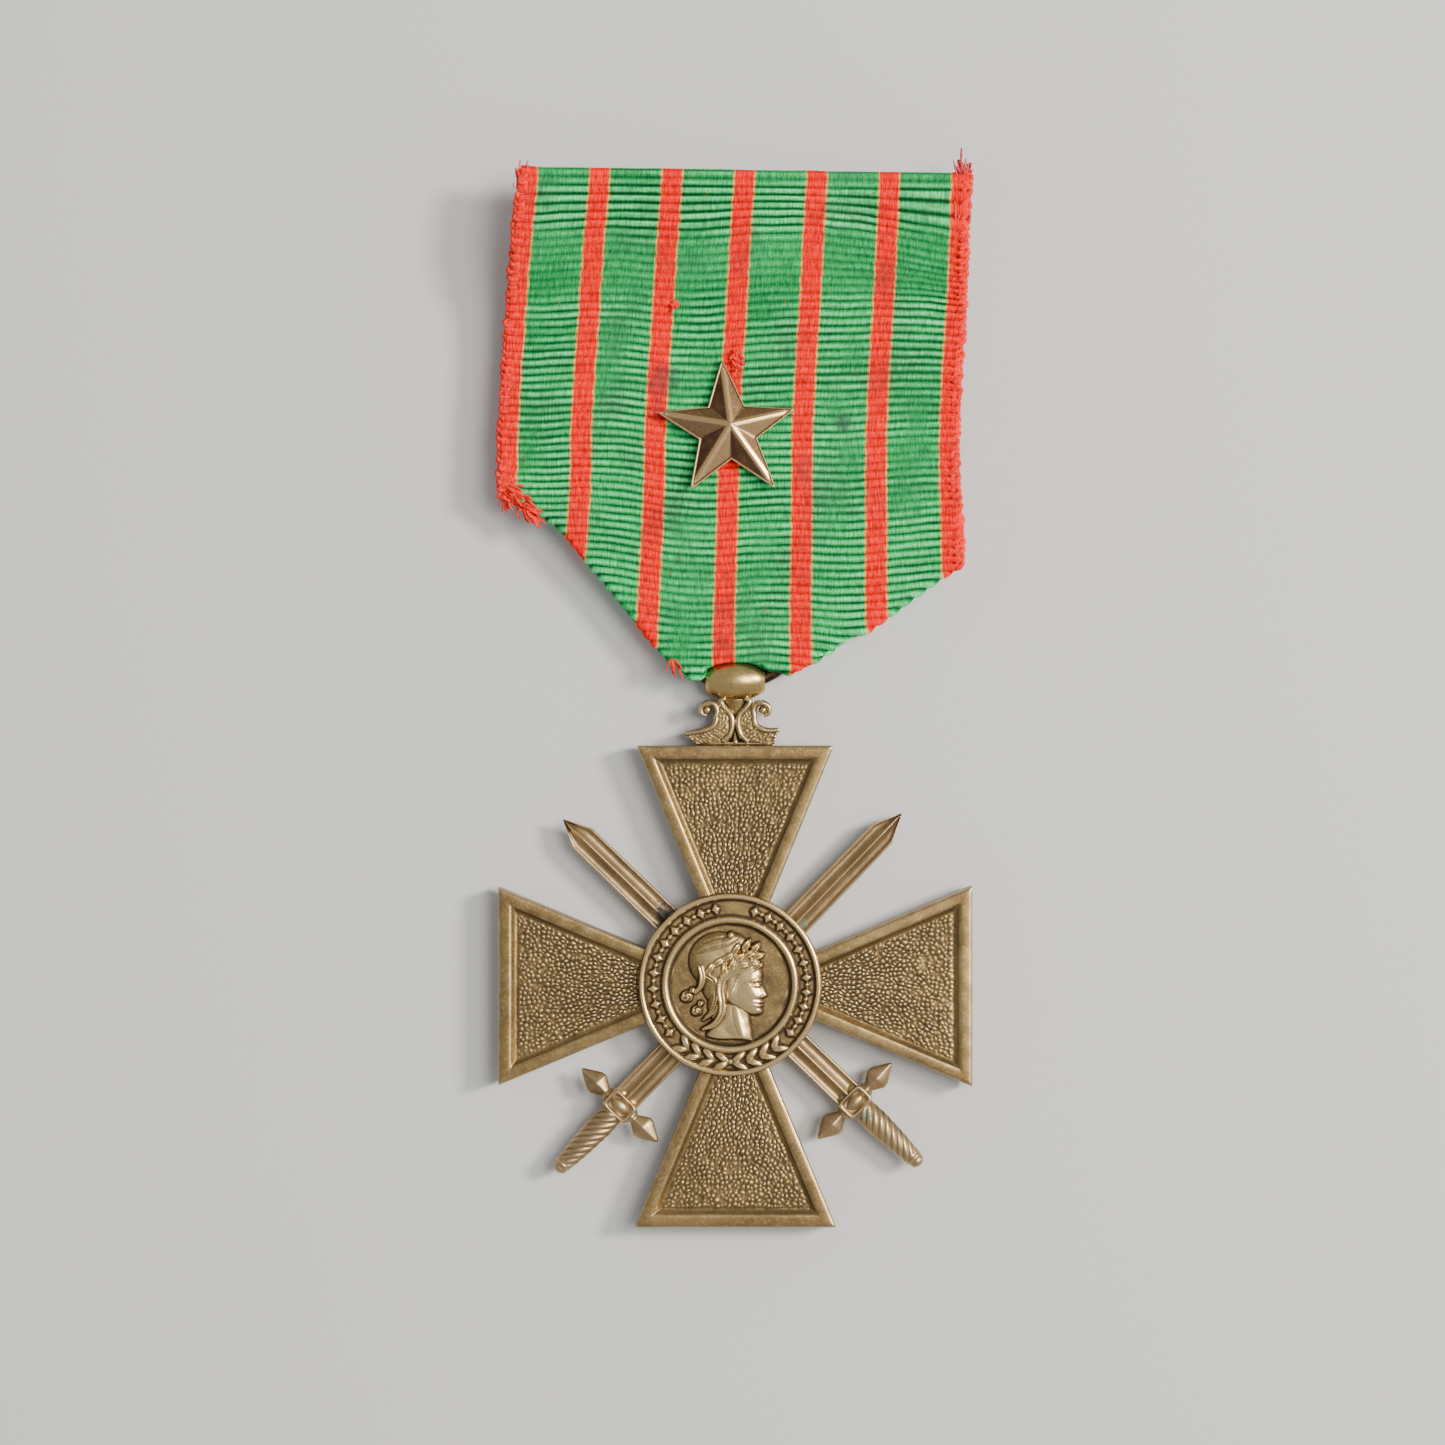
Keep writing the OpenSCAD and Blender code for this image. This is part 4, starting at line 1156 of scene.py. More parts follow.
# Front of a plain classical profile as (Y, X), in thirds: hairline to brow, brow to nose and nose to chin.
PROFILE = np.array([
    (1.75, 2.28), (1.30, 2.44), (0.80, 2.52), (0.42, 2.52), (0.22, 2.47), (0.02, 2.50), (-0.35, 2.68),
    (-0.70, 2.86), (-0.84, 2.90), (-0.95, 2.82), (-1.03, 2.60), (-1.14, 2.54), (-1.27, 2.62), (-1.36, 2.64),
    (-1.44, 2.54), (-1.54, 2.61), (-1.66, 2.57), (-1.80, 2.46), (-1.95, 2.52), (-2.12, 2.56), (-2.27, 2.44), (-2.38, 2.15),
])

# Rise of each form of the face, with its pillow or stroke: cheek, eye socket, eye, brow, lid, nostril, side
# of the nose, mouth and chin.
FACE_FORMS = (
    (0.07, pillow, (1.45, -0.75, 0.95, 0.95, 0, 1.0)),
    (-0.17, pillow, (2.05, 0.06, 0.50, 0.30, -6, 1.0)),
    (0.11, pillow, (2.12, 0.02, 0.25, 0.14, -8, 0.7)),
    (0.09, stroke, ([(1.62, 0.24), (1.98, 0.40), (2.40, 0.33)], [0.10, 0.14, 0.08])),
    (0.05, stroke, ([(1.80, -0.02), (2.06, 0.15), (2.36, 0.08)], [0.05, 0.07, 0.05])),
    (0.10, pillow, (2.52, -0.88, 0.19, 0.16, 0, 0.8)),
    (0.06, stroke, ([(2.45, 0.2), (2.62, -0.35), (2.80, -0.78)], [0.09, 0.10, 0.12])),
    (-0.12, stroke, ([(2.14, -1.45), (2.38, -1.46), (2.62, -1.44)], [0.05, 0.07, 0.05])),
    (0.05, pillow, (2.36, -2.05, 0.34, 0.28, 0, 1.0)),
)

# The cap's two folds: depth, path and widths.
CAP_FOLDS = (
    (0.10, [(-2.9, 2.3), (-1.7, 2.75), (-0.3, 3.1), (0.5, 3.55)], [0.10, 0.20, 0.18, 0.08]),
    (0.08, [(-2.6, 3.0), (-1.4, 3.5), (-0.2, 3.75)], [0.08, 0.16, 0.08]),
)

# Locks of hair: path, widths, rise and number of strands.
LOCKS = (
    (
        [(-1.9, 0.9), (-1.2, 0.45), (-1.0, -0.4), (-1.1, -1.3), (-1.5, -2.2), (-2.1, -2.75)],
        [0.40, 0.50, 0.46, 0.36, 0.26, 0.10], 0.50, 3,
    ),
    (
        [
            (0.9, 1.25), (0.1, 0.95), (-0.55, 0.45), (-0.75, -0.4),
            (-0.62, -1.4), (-0.72, -2.3), (-1.25, -3.05), (-2.15, -3.45),
        ],
        [0.45, 0.52, 0.50, 0.46, 0.42, 0.38, 0.30, 0.12], 0.72, 2,
    ),
    (
        [(1.9, 1.75), (1.25, 1.25), (0.65, 0.75), (0.35, 0.0), (0.10, -0.65)],
        [0.34, 0.42, 0.40, 0.30, 0.12], 0.66, 3,
    ),
    ([(2.35, 1.55), (1.75, 1.15), (1.15, 0.55), (1.05, 0.0)], [0.22, 0.34, 0.28, 0.10], 0.66, 2),
    ([(-2.3, 1.35), (-2.15, 0.65), (-2.3, -0.1), (-2.75, -0.6)], [0.34, 0.38, 0.28, 0.16], 0.60, 2),
)

# Curls and berries as place and radius, and laurel leaves as place, turn and size.
CURLS = ((-3.38, -0.92, 0.55), (-2.62, -2.02, 0.48), (-2.93, -0.42, 0.30), (-2.3, -1.45, 0.30))
BERRIES = ((-0.55, 2.1), (0.3, 2.3), (1.05, 2.65), (1.65, 2.0))
LEAVES = (
    (-1.55, 1.25, 62, 1.15), (-0.95, 1.75, 38, 1.2), (-0.45, 1.25, 80, 1.05), (-0.15, 2.15, 30, 1.25),
    (0.15, 1.55, 66, 1.1), (0.45, 2.75, 58, 1.25), (0.75, 2.10, 34, 1.25), (1.0, 1.55, 8, 1.05),
    (1.25, 3.05, 60, 1.25), (1.45, 2.35, 32, 1.25), (1.75, 1.75, -2, 1.1), (1.95, 2.85, 52, 1.15),
    (2.15, 2.25, 18, 1.1),
)


def face_relief(x, y):
    """The face and jaw as one rounded form behind the profile, with its features raised or sunk on it."""
    front = np.interp(y, *PROFILE[::-1].T) - x
    jaw = -2.42 + 0.95 * np.clip((2.0 - x) / 2.1, 0, 1) ** 1.6
    face = 0.60 * rounded(front, 0.95) * rounded(y - jaw, 0.75) * (y < 2.3) * smooth(x, -0.9, 0.1)
    full = face > 0.02
    for rise, form, values in FACE_FORMS:
        face = face + full * rise * form(x, y, *values)
    return np.maximum(face, 0)


def neck_relief(x, y):
    """The neck between its front and back lines, cut off on a slanting line below."""
    front = 1.55 + 0.22 * smooth(-y, 2.4, 4.3)
    back = -0.75 - 1.15 * smooth(-y, 2.3, 3.9)
    cut = -4.02 - 0.13 * (x + 1.9) + 0.10 * np.sin(1.5 * x)
    neck = 0.46 * rounded(front - x, 0.95) * rounded(x - back, 0.8) * rounded(y - cut, 0.22)
    neck = neck * smooth(-y, 1.0, 1.7)
    return neck + (neck > 0.05) * 0.06 * pillow(x, y, 0.75, -3.0, 0.38, 1.5, 18, 1.0)


def cap_relief(x, y):
    """The soft cap: two domes that run into each other, with two folds across them."""
    crown = pillow(x, y, -0.95, 1.95, 2.30, 2.15, 20, 0.5)
    cap = np.maximum(crown, 0.98 * pillow(x, y, -0.10, 2.75, 1.55, 1.25, 25, 0.5))
    cap = cap * smooth(y + 0.45 * x, -1.5, -0.8)
    for depth, path, widths in CAP_FOLDS:
        cap = cap - depth * cap * stroke(x, y, path, widths)
    return cap


def head_relief(x, y):
    """A head in profile facing right, with a soft cap, a laurel wreath, gathered hair and a cut neck.

    Each part is a rounded form, leaf or lock, and the highest of them at a place gives its height.
    """
    h = np.maximum(face_relief(x, y), neck_relief(x, y))
    h = np.maximum(h, 0.52 * cap_relief(x, y))
    h = np.maximum(h, 0.50 * pillow(x, y, 0.05, 3.82, 0.33, 0.36))
    h = np.maximum(h, 0.44 * pillow(x, y, -0.65, -0.05, 1.55, 1.65, 0, 0.5))
    h = np.maximum(h, 0.40 * pillow(x, y, -1.05, -1.75, 0.72, 1.25, 8, 0.5))
    for path, widths, rise, strands in LOCKS:
        h = np.maximum(h, rise * lock(x, y, path, widths, strands))
    for cx, cy, r in CURLS:
        curl = 0.86 + 0.14 * np.cos(2.4 * np.arctan2(y - cy, x - cx) + 9 * np.hypot(x - cx, y - cy) / r)
        h = np.maximum(h, 0.52 * pillow(x, y, cx, cy, r, r * 0.9, 30) * curl)
    for cx, cy, turn, size in LEAVES:
        h = np.maximum(h, 0.82 * leaf(x, y, cx, cy, 1.12 * size, 0.74, turn))
    for cx, cy in BERRIES:
        h = np.maximum(h, 0.80 * pillow(x, y, cx, cy, 0.17, 0.17))
    return np.maximum(h, 0)


def medallion_disc(shell, radii, relief, sides, base, sign, centre, low):
    """A closed disc on rings of the radii given. Its face is at base plus the relief; its back is flat."""
    a = np.linspace(0, 2 * np.pi, sides, endpoint=False)
    x, y = radii[:, None] * np.cos(a), radii[:, None] * np.sin(a)
    z = base + sign * relief(x, y)
    face = np.stack([x, y, z], -1)
    wall = np.stack([x[-1:], y[-1:], np.full((1, sides), low)], -1)
    back = np.stack([x[-1:] * 0.5, y[-1:] * 0.5, np.full((1, sides), low)], -1)
    p = np.concatenate([face, wall, back]) + [centre[0], centre[1], 0]
    raised = np.zeros(p.shape[:2])
    raised[: len(radii)] = 0.85 * smooth(relief(x, y), 0.12, 0.60) - 0.25
    index = shell.grid(p, around=True, raised=raised)
    shell.fan(index[0], [centre[0], centre[1], float(z[0].mean())])
    shell.fan(index[-1], [centre[0], centre[1], low])


# ---------------------------------------------------------------- operators


ROOT = "ribbon_and_brooch"  # the body that the ribbon and all on it ride on


def tones(s):
    """The medal's own bronze: its patina, its usual colour and its rubbed edges."""
    return s.dark, s.mid, s.bright


class MEDAL_OT_ribbon(bpy.types.Operator):
    bl_idname = "medal.ribbon"
    bl_label = "Ribbon"

    def execute(self, context):
        s = context.scene.medal_ribbon
        shell, cloth = weave_ribbon(s), ribbon_material(s)
        piece = shell.build("ribbon_cloth", ROOT, "ribbon_cloth", cloth, ["ribbon"], wear=0, uv_name="weave")
        return {"FINISHED"}


class MEDAL_OT_loose_threads(bpy.types.Operator):
    """Add the loops of weft at the selvedges and the frayed tufts at the corners"""

    bl_idname = "medal.loose_threads"
    bl_label = "Loose threads"

    def execute(self, context):
        s = context.scene.medal_ribbon
        loops = Shell()
        selvedge_loops(loops, s)
        red = thread_material("red_thread", (0.62, 0.002, 0.0), (1.0, 0.010, 0.001), (1.0, 0.12, 0.05))
        loops.build("selvedge_loops", ROOT, "ribbon_cloth", red, wear=0)
        tufts = Shell()
        for tuft in RED_TUFTS:
            fray(tufts, *tuft)
        tufts.build("frayed_red_ends", ROOT, "ribbon_cloth", red, wear=0)
        pink = thread_material("faded_thread", (0.40, 0.02, 0.035), (0.72, 0.075, 0.085), (0.95, 0.34, 0.34))
        worn = Shell()
        for tuft in PINK_TUFTS:
            fray(worn, *tuft)
        worn.build("frayed_top_corners", ROOT, "ribbon_cloth", pink, wear=0)
        return {"FINISHED"}


class MEDAL_OT_cross(bpy.types.Operator):
    """Build the four arms with their frames and pebbled fields, and the hub between the medallions"""

    bl_idname = "medal.cross"
    bl_label = "Cross"

    def execute(self, context):
        s = context.scene.medal_bronze
        finish = bronze("cross_bronze", tones(s), rub=0.95, grime=0.95, roughness=0.36)
        low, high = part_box("cross_plate")
        up, across = (high.y - low.y) / 2 / MM, (high.x - low.x) / 2 / MM
        arms = ((up, 7.70), (across, 7.72), (up, 7.85), (across, 7.82))  # reach and half width at the end
        for name, sign, rows, columns in (("cross_arms_front", 1, 132, 124), ("cross_arms_back", -1, 56, 46)):
            shell = Shell()
            for k, (reach, half) in enumerate(arms):
                arm(shell, s, reach, half, 90 * k, 10 + 5 * k, sign, rows, columns)
            a = np.linspace(0, 2 * np.pi, 48, endpoint=False)
            r = np.array([0.3, 5.3, 5.3, 0.3])
            z = MID_Z + sign * np.array([0.55, 0.55, 0.0, 0.0])
            hub = np.stack([r[:, None] * np.cos(a), r[:, None] * np.sin(a), z[:, None] + 0 * a], -1)
            shell.tube(hub + CROSS * FLAT)
            shell.build(name, "cross", "cross_bronze", finish, ["cross_plate"], wear=0.15)
        return {"FINISHED"}


class MEDAL_OT_swords(bpy.types.Operator):
    """Build the two crossed swords"""

    bl_idname = "medal.swords"
    bl_label = "Swords"

    def execute(self, context):
        s = context.scene.medal_bronze
        green, black = (0.06, 0.13, 0.09), (0.035, 0.028, 0.022)
        x, y = CROSS[:2]
        spots = [
            (x + 5.3, y + 4.8, 2.1, 0.55, green),
            (x - 5.5, y + 5.6, 2.1, 1.25, black),
            (x + 10.3, y - 10.1, 2.2, 0.55, green),
            (x + 11.0, y - 12.6, 2.4, 0.35, green),
        ]
        metal = (s.dark, (0.44, 0.295, 0.145), s.bright)
        finish = bronze("sword_bronze", metal, rub=0.55, grime=0.7, roughness=0.40, spots=spots)
        for side, degrees, lower in (("left", -134, True), ("right", -44, False)):
            shell = Shell()
            for p in [blade(lower), *hilt_points(), guard_block()]:
                shell.tube(placed(p, degrees, (x, y, MID_Z)))
            turn = np.radians(degrees)
            at = (x + GUARD_X * np.cos(turn), y + GUARD_X * np.sin(turn))
            for sign in (1, -1):
                dome(shell, at, 0.50, 0.80, 0.40, MID_Z + sign * 0.62, degrees, sign)
            shell.build(f"sword_{side}", "cross", "sword_bronze", finish, [f"sword_hilt_{side}"])
        return {"FINISHED"}


class MEDAL_OT_medallions(bpy.types.Operator):
    """Build the front medallion with the head and the rear one with a rosette"""

    bl_idname = "medal.medallions"
    bl_label = "Medallions"

    def execute(self, context):
        s = context.scene.medal_bronze
        metal = (s.dark, s.mid, (0.74, 0.53, 0.25))
        finish = bronze("medallion_bronze", metal, rub=0.85, grime=0.85, roughness=0.37)
        bands = ((0.05, 4.6, 84), (4.66, 5.46, 13), (5.53, 6.5, 14), (6.56, 7.15, 11))
        radii = np.concatenate([np.linspace(*band) for band in bands])

        def face(x, y):
            r = np.hypot(x, y)
            h = ring_relief(r) + border_ornament(x, y, s.ornaments)
            head = head_relief(x, y) * smooth(-r, -4.82, -4.66)
            return np.maximum(h, head) + np.where(r < 4.5, 0.012 * wander(x, y, 77, 6, 0.3, 1.2), 0)

        front = Shell()
        medallion_disc(front, radii, face, 440, 2.76, 1, HUB + [0, 0.18, 0], 2.2)
        front.build("front_medallion_relief", "cross", "medallion_bronze", finish, ["front_medallion"])

        def rosette(x, y):
            r, a = np.hypot(x, y), np.arctan2(y, x)
            petals = (0.5 + 0.5 * np.cos(8 * a)) * smooth(-r, -3.6, -0.8) * smooth(r, 0.5, 1.2)
            beads = np.maximum(np.cos(36 * a), 0) ** 0.5 * smooth(r, 5.75, 5.95) * smooth(-r, -6.25, -6.05)
            return ring_relief(r) * 0.92 + 0.28 * petals + 0.20 * beads + 0.30 * smooth(-r, -0.7, -0.2)

        rear = Shell()
        medallion_disc(rear, radii[::2], rosette, 220, 0.44, -1, middle("rear_medallion"), 1.0)
        rear.build("rear_medallion_relief", "cross", "medallion_bronze", finish, ["rear_medallion"])
        return {"FINISHED"}


# Lines of one scroll above the foot of the crest, as (X, Y).
SCROLL_BACK = [(0.86, 2.95), (0.36, 2.4), (0.22, 1.7), (0.42, 0.9), (1.0, 0.3)]
SCROLL_FRONT = [(1.5, 3.4), (1.40, 2.9), (1.42, 2.45), (1.46, 1.95), (1.72, 1.50), (2.45, 1.18)]
VOLUTE = [(1.50, 2.25), (1.42, 2.75), (1.64, 3.22), (2.15, 3.32), (2.62, 3.02), (2.62, 2.52), (2.25, 2.34)]


class MEDAL_OT_crest(bpy.types.Operator):
    """Build the crest: two scrolls back to back between the top arm and the ball"""

    bl_idname = "medal.crest"
    bl_label = "Crest"

    def execute(self, context):
        s = context.scene.medal_bronze
        shell = Shell()
        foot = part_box("crest")[0].y / MM
        t = np.linspace(0, 1, 18)
        for side, toe in ((-1, (3.95, 0.92)), (1, (3.40, 1.22))):
            inner = along([(0.75, 3.72), (1.12, 3.45), *SCROLL_BACK], 36)
            outer = along([(1.50, 2.25), (1.50, 1.90), (1.72, 1.50), (2.45, 1.18), toe], 30)
            volute = along(VOLUTE, 34)
            edge_a = along([(0.95, 3.5), *SCROLL_BACK, (2.2, 0.10), (3.1, 0.12)], 54)
            edge_b = along([*SCROLL_FRONT, (3.2, toe[1] + 0.02), (toe[0] - 0.1, toe[1] - 0.2)], 54)
            fill = edge_a[:, None] * (1 - t)[None, :, None] + edge_b[:, None] * t[None, :, None]
            fx, fy = fill[..., 0], fill[..., 1]
            striped = 0.5 + 0.5 * np.sin(2 * np.pi * np.linspace(0, 17, len(fill)))[:, None]
            grain = pebbles(fx + 9, fy + 9, 0.24, 5 + side)
            level = 0.50 + 0.03 * striped * np.sin(np.pi * t)[None] + 0.055 * grain
            level = level * smooth(np.minimum(t, 1 - t)[None] + 0 * fx, -0.05, 0.04)
            faces = [np.stack([side * fx, foot + fy, MID_Z + sign * level], -1) for sign in (1, -1)]
            shell.tube(np.concatenate([faces[0], faces[1][:, ::-1]], axis=1))
            for path, thick, fade in ((inner, 0.25, 0.9), (outer, 0.25, 0.75), (volute, 0.25, 0.6)):
                for sign in (1, -1):
                    z = np.full(len(path), MID_Z + sign * 0.52)
                    q = np.column_stack([side * path[:, 0], foot + path[:, 1], z])
                    radius = thick * np.interp(np.linspace(0, 1, len(path)), [0, 0.5, 1], [0.9, 1.0, fade])
                    shell.tube(rings(q, radius, 12, flat=1.15))
            bead_profile = along([(-0.5, 0.02), (-0.42, 0.24), (0, 0.36), (0.42, 0.24), (0.5, 0.02)], 16)
            beads = [(2.18, 2.78, 1.0, 0.0)] + ([(1.68, 3.30, 0.62, 0.1)] if side > 0 else [])
            for bx, by, size, lift in beads:
                ball = turned(bead_profile * size, 18)
                ball = np.stack([ball[..., 1], ball[..., 2], ball[..., 0] * 1.5], -1)
                shell.tube(ball + [side * bx, foot + by, MID_Z + lift])
        stem = along([(0.0, 0.15), (0.0, 0.8), (0.0, 1.35)], 8)
        q = np.column_stack([stem[:, 0], foot + stem[:, 1], np.full(8, MID_Z)])
        shell.tube(rings(q, np.linspace(0.36, 0.10, 8), 16, flat=1.5))
        neck = np.column_stack([np.zeros(8), foot + np.linspace(2.3, 3.75, 8), np.full(8, MID_Z)])
        shell.tube(rings(neck, np.linspace(0.55, 1.15, 8), 28, flat=0.45))
        bar = np.column_stack([np.linspace(-2.9, 2.9, 12), np.full(12, foot + 0.16), np.full(12, MID_Z)])
        shell.tube(rings(bar, 0.22, 16, flat=2.2))
        finish = bronze("crest_bronze", tones(s), rub=0.9, grime=1.1, roughness=0.34)
        shell.build("crest_scrolls", "cross", "cross_bronze", finish, ["crest"])
        return {"FINISHED"}


class MEDAL_OT_ball(bpy.types.Operator):
    """Turn the olive-shaped ball with its bored ends, and finish the ring"""

    bl_idname = "medal.ball"
    bl_label = "Ball and ring"

    def execute(self, context):
        s = context.scene.medal_bronze
        half, bore = 2.325, 0.82
        waist, reach = 1.58, 2.70  # half axes of the ellipse that is cut off at both ends
        x = half * np.sin(np.linspace(-1, 1, 49) * np.pi / 2)
        outside = np.stack([x, waist * np.sqrt(1 - (x / reach) ** 2)], -1)
        inside = np.stack([np.linspace(half, -half, 7), np.full(7, bore)], -1)
        profile = np.vstack([outside, inside])
        shell = Shell()
        shell.grid(turned(np.vstack([profile, profile[:1]]), 64) + BALL, around=True)
        metal = ((0.10, 0.055, 0.02), (0.60, 0.41, 0.15), (0.82, 0.66, 0.38))
        finish = bronze("ball_bronze", metal, rub=0.5, grime=0.4, roughness=0.30, bump=0.005)
        shell.build("ball", "cross", "ball_bronze", finish, ["suspension_ball"])
        # The ring is finished in dark patina throughout: partly its old bronze, partly painted shade, since
        # it lies in shadow under the ribbon's edge.
        refinish(bronze("ring_bronze_painted_shade", (s.dark, s.dark, s.mid), worn=False), "suspension_ring")
        return {"FINISHED"}


# How far each corner of the star is bent out of true, and the painted light and shade of each of its facets,
# from the top corner round to the left: lighter where a facet faces the light, darker where it faces away.
STAR_BENDS = np.array([
    (0, 0.10), (0.03, 0), (-0.20, 0.10), (0, 0.13), (-0.04, -0.07),
    (0.13, 0.03), (0.24, -0.48), (0, -0.13), (0.20, -0.45), (0.10, -0.13),
])
FACET_LIGHT = [-0.45, -0.10, -0.08, -0.45, 0.38, -0.45, 0.18, 0.45, -0.18, 0.05]
STAR_TIP_R, STAR_NOTCH_R = 5.52, 2.36
STAR_TURN = 94.5  # direction of the top corner, in degrees
STAR_APEX = np.array([0.25, 0.40])  # where the facets meet, from the star's middle
RIM = 0.91  # share of the star's outline where its flat rim begins
RIDGE_HALF = 0.27  # half the width of a rubbed ridge


class MEDAL_OT_star(bpy.types.Operator):
    """Strike the five-pointed star with its rim and tilt it on the ribbon"""

    bl_idname = "medal.star"
    bl_label = "Star"

    def execute(self, context):
        s = context.scene.medal_bronze
        shell = Shell()
        n = 14
        corner = np.arange(10)
        radius = np.where(corner % 2 == 0, STAR_TIP_R, STAR_NOTCH_R)
        angle = np.radians(STAR_TURN + 36 * corner)
        points = np.stack([radius * np.cos(angle), radius * np.sin(angle)], -1) + STAR_BENDS
        t = np.linspace(0, 1, n, endpoint=False)[None, :, None]
        rim = (points[:, None] * (1 - t) + np.roll(points, -1, 0)[:, None] * t).reshape(-1, 2)
        far = np.hypot(*rim.T)
        rim = rim * (1 - 0.018 * smooth(far, 5.1, 5.5))[:, None]
        scale = np.array([1.0, 0.996, 0.985, 0.965, 0.945, 0.925, RIM, *np.linspace(0.885, 0.03, 28)])
        level = np.interp(
            scale,
            [0.0, 0.905, 0.925, 0.945, 0.985, 0.996, 1.0],
            [1.45, 0.36, 0.32, 0.36, 0.38, 0.34, 0.24],
        )
        xy = rim[None] * scale[:, None, None] + STAR_APEX * (1 - scale)[:, None, None]
        z = np.repeat(level[:, None], len(rim), 1)
        ridge = np.full(xy.shape[:2], 9.0)
        for tip in points[::2]:
            ux, uy = (tip - STAR_APEX) / np.hypot(*(tip - STAR_APEX))
            dx, dy = xy[..., 0] - STAR_APEX[0], xy[..., 1] - STAR_APEX[1]
            ridge = np.where(dx * ux + dy * uy > 0, np.minimum(ridge, np.abs(dx * uy - dy * ux)), ridge)
        inner = (scale < RIM)[:, None]
        z = z - inner * 0.28 * np.maximum(RIDGE_HALF - ridge, 0)
        rim_polish = np.interp(scale, [RIM, 0.945, 0.985, 1.0], [-0.3, 0.05, 0.2, 0.1])[:, None]
        # Painted light and shade on the facets, with real wear on the rim and on the rubbed ridges.
        wear_and_facet_light = np.where(inner, np.repeat(FACET_LIGHT, n)[None], rim_polish)
        wear_and_facet_light = wear_and_facet_light + inner * (0.75 - wear_and_facet_light) * smooth(-ridge, -RIDGE_HALF, -0.13)
        wear_and_facet_light = np.concatenate([wear_and_facet_light[::-1], np.zeros((1, len(rim)))])
        top = np.concatenate([xy, z[..., None]], -1)
        low = np.concatenate([rim[None] * 0.99, np.zeros((1, len(rim), 1))], -1)
        p = np.concatenate([top[::-1], low])
        lean, roll = np.radians(7), np.radians(-2.5)
        y, z = p[..., 1].copy(), p[..., 2].copy()
        p[..., 1] = y * np.cos(lean) - z * np.sin(lean) * 0.2
        p[..., 2] = z * np.cos(lean) - y * np.sin(lean) * 0.35
        p[..., 2] += p[..., 0] * np.sin(roll) * 0.5
        p = p + [-0.62, CROSS[1] + 43.32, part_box("star")[0].z / MM + 0.28]
        index = shell.grid(p, around=True, raised=wear_and_facet_light)
        shell.fan(index[0], p[0].mean(0) + [0, 0, 0.03], raised=[0.75])
        shell.fan(index[-1], p[-1].mean(0))
        metal = ((0.060, 0.022, 0.009), (0.27, 0.155, 0.080), (0.62, 0.40, 0.18))
        finish = bronze("star_bronze", metal, rub=0.9, grime=0.9, roughness=0.43)
        shell.build("star_facets", ROOT, "star_bronze", finish, ["star"], wear=0.12)
        refinish(bronze("prong_bronze", tones(s), worn=False), "star_prongs")
        return {"FINISHED"}


class MEDAL_OT_brooch(bpy.types.Operator):
    """Finish the brooch's bar, hinge, rivet, pin and hook"""

    bl_idname = "medal.brooch"
    bl_label = "Brooch"

    def execute(self, context):
        metal = ((0.12, 0.08, 0.03), (0.45, 0.33, 0.15), (0.72, 0.58, 0.34))
        brass = bronze("brooch_brass", metal, roughness=0.36, worn=False)
        metal = ((0.10, 0.09, 0.08), (0.42, 0.41, 0.39), (0.66, 0.65, 0.63))
        steel = bronze("pin_steel", metal, roughness=0.28, bump=0.004, worn=False)
        refinish(brass, "brooch_bar", "hinge_lug", "catch_hook")
        refinish(steel, "hinge_rivet", "brooch_pin")
        return {"FINISHED"}


class MEDAL_OT_stitches(bpy.types.Operator):
    """Sew the row of stitches behind the bar"""

    bl_idname = "medal.stitches"
    bl_label = "Stitches"

    def execute(self, context):
        shell = Shell()
        rng = np.random.default_rng(9)
        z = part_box("seam_stitches")[0].z / MM + 0.12
        for i in range(-5, 6):
            x = i * 2.9
            y = 35 + rng.normal(0, 0.06)
            middle_y = y + rng.normal(0, 0.05)
            path = [
                (x - 0.95, y - 0.05, z + 0.35),
                (x - 0.75, y, z),
                (x, middle_y, z - 0.02),
                (x + 0.75, y + 0.05, z),
                (x + 0.95, y + 0.06, z + 0.35),
            ]
            strand(shell, path, 0.12, 8, 16)
        thread = thread_material("sewing_thread", (0.02, 0.08, 0.03), (0.05, 0.20, 0.08), (0.15, 0.35, 0.18))
        shell.build("seam_thread", ROOT, "sewing_thread", thread, ["seam_stitches"], wear=0)
        return {"FINISHED"}


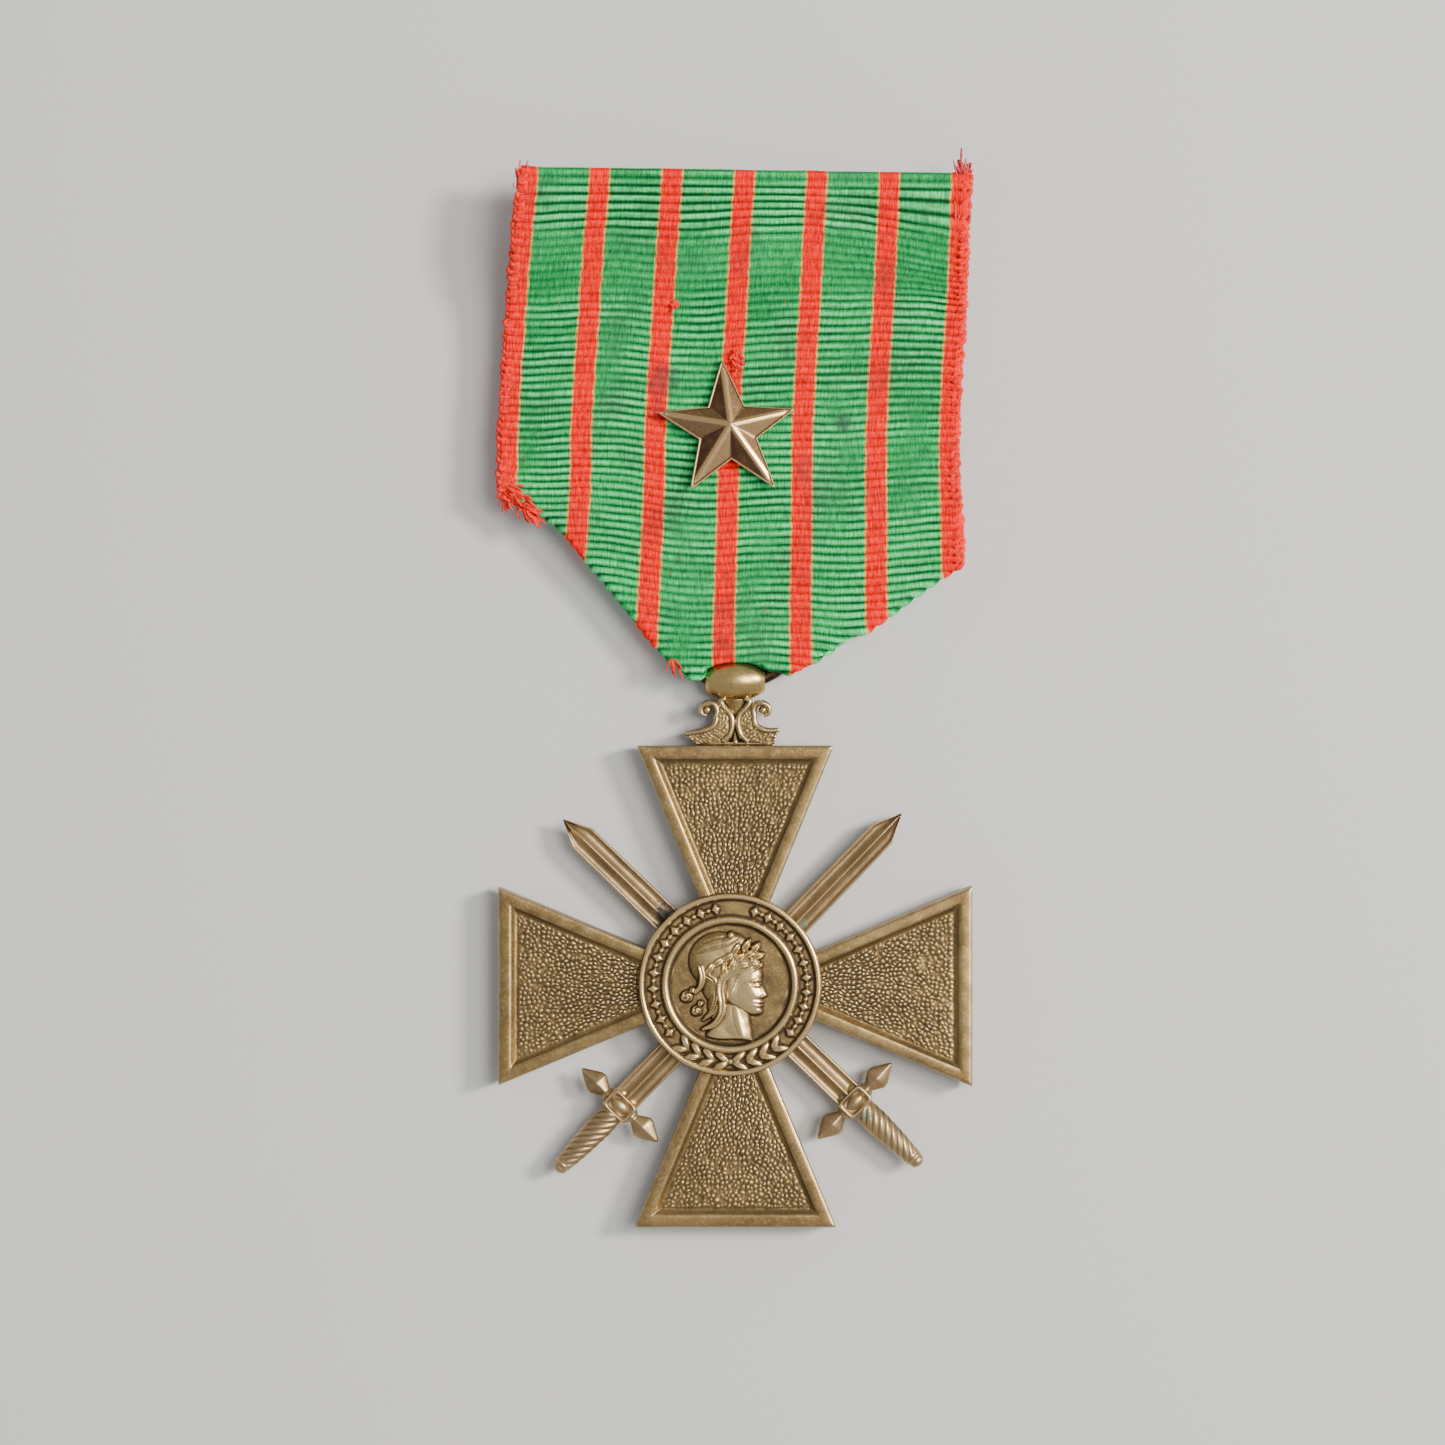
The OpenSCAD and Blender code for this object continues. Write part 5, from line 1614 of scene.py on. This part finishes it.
class MEDAL_OT_stage(bpy.types.Operator):
    """Set the pale floor, the soft lights and the camera above the medal"""

    bl_idname = "medal.stage"
    bl_label = "Stage"

    def execute(self, context):
        s = context.scene.medal_stage
        scene = context.scene
        mesh = bpy.data.meshes.new("floor")
        r = 1.6  # half the floor's side, in metres
        mesh.from_pydata([(-r, -r, 0), (r, -r, 0), (r, r, 0), (-r, r, 0)], [], [(0, 1, 2, 3)])
        floor = bpy.data.objects.new("floor", mesh)
        floor.location.z = -0.00002
        scene.collection.objects.link(floor)
        material, _, shader = new_material("pale_floor")
        shader.inputs["Base Color"].default_value = (0.62, 0.61, 0.59, 1)
        shader.inputs["Roughness"].default_value = 0.9
        mesh.materials.append(material)
        camera = bpy.data.objects.new("camera", bpy.data.cameras.new("camera"))
        scene.collection.objects.link(camera)
        camera.data.sensor_width = 36
        camera.data.lens = 36 * s.camera_height / s.view_width
        centre = Vector((-0.0010, -0.00165, 0.003))
        camera.location = centre + Vector((0, 0, s.camera_height))
        camera.rotation_euler = (0, 0, 0)
        camera.data.clip_start = 0.01
        scene.camera = camera
        for name, place, size, power, tint in (
            ("key_light", (0.52, 0.15, 0.44), 0.16, s.key_power, (1.0, 0.97, 0.93)),
            ("high_light", (0.23, 0.05, 0.50), 0.26, s.key_power * 0.38, (1.0, 0.98, 0.95)),
        ):
            data = bpy.data.lights.new(name, "AREA")
            data.shape, data.size, data.energy, data.color = "DISK", size, power, tint
            lamp = bpy.data.objects.new(name, data)
            lamp.location = place
            lamp.rotation_euler = (Vector((0, 0, 0)) - Vector(place)).to_track_quat("-Z", "Y").to_euler()
            scene.collection.objects.link(lamp)
        world = bpy.data.worlds.new("soft_room")
        world.use_nodes = True
        world.node_tree.nodes["Background"].inputs["Color"].default_value = (0.95, 0.97, 1.0, 1)
        world.node_tree.nodes["Background"].inputs["Strength"].default_value = s.fill
        scene.world = world
        return {"FINISHED"}


class MEDAL_PT_build(bpy.types.Panel):
    """Settings and building steps of the medal"""

    bl_idname = "MEDAL_PT_build"
    bl_label = "Cross medal"
    bl_space_type = "VIEW_3D"
    bl_region_type = "UI"
    bl_category = "Medal"

    def draw(self, context):
        layout = self.layout
        for group in (context.scene.medal_ribbon, context.scene.medal_bronze, context.scene.medal_stage):
            box = layout.box()
            for key in group.__annotations__:
                box.prop(group, key)
        for step in STEPS:
            layout.operator(step.bl_idname)


STEPS = (
    MEDAL_OT_stage,
    MEDAL_OT_ribbon,
    MEDAL_OT_loose_threads,
    MEDAL_OT_cross,
    MEDAL_OT_swords,
    MEDAL_OT_medallions,
    MEDAL_OT_crest,
    MEDAL_OT_ball,
    MEDAL_OT_star,
    MEDAL_OT_brooch,
    MEDAL_OT_stitches,
)
GROUPS = (MedalRibbonSettings, MedalBronzeSettings, MedalStageSettings)


def register():
    for cls in (*GROUPS, *STEPS, MEDAL_PT_build):
        bpy.utils.register_class(cls)
    bpy.types.Scene.medal_ribbon = PointerProperty(type=MedalRibbonSettings)
    bpy.types.Scene.medal_bronze = PointerProperty(type=MedalBronzeSettings)
    bpy.types.Scene.medal_stage = PointerProperty(type=MedalStageSettings)


def unregister():
    for key in ("medal_ribbon", "medal_bronze", "medal_stage"):
        delattr(bpy.types.Scene, key)
    for cls in reversed((*GROUPS, *STEPS, MEDAL_PT_build)):
        bpy.utils.unregister_class(cls)


def main():
    register()
    for step in STEPS:
        category, name = step.bl_idname.split(".")
        getattr(getattr(bpy.ops, category), name)()


if __name__ == "__main__":
    main()
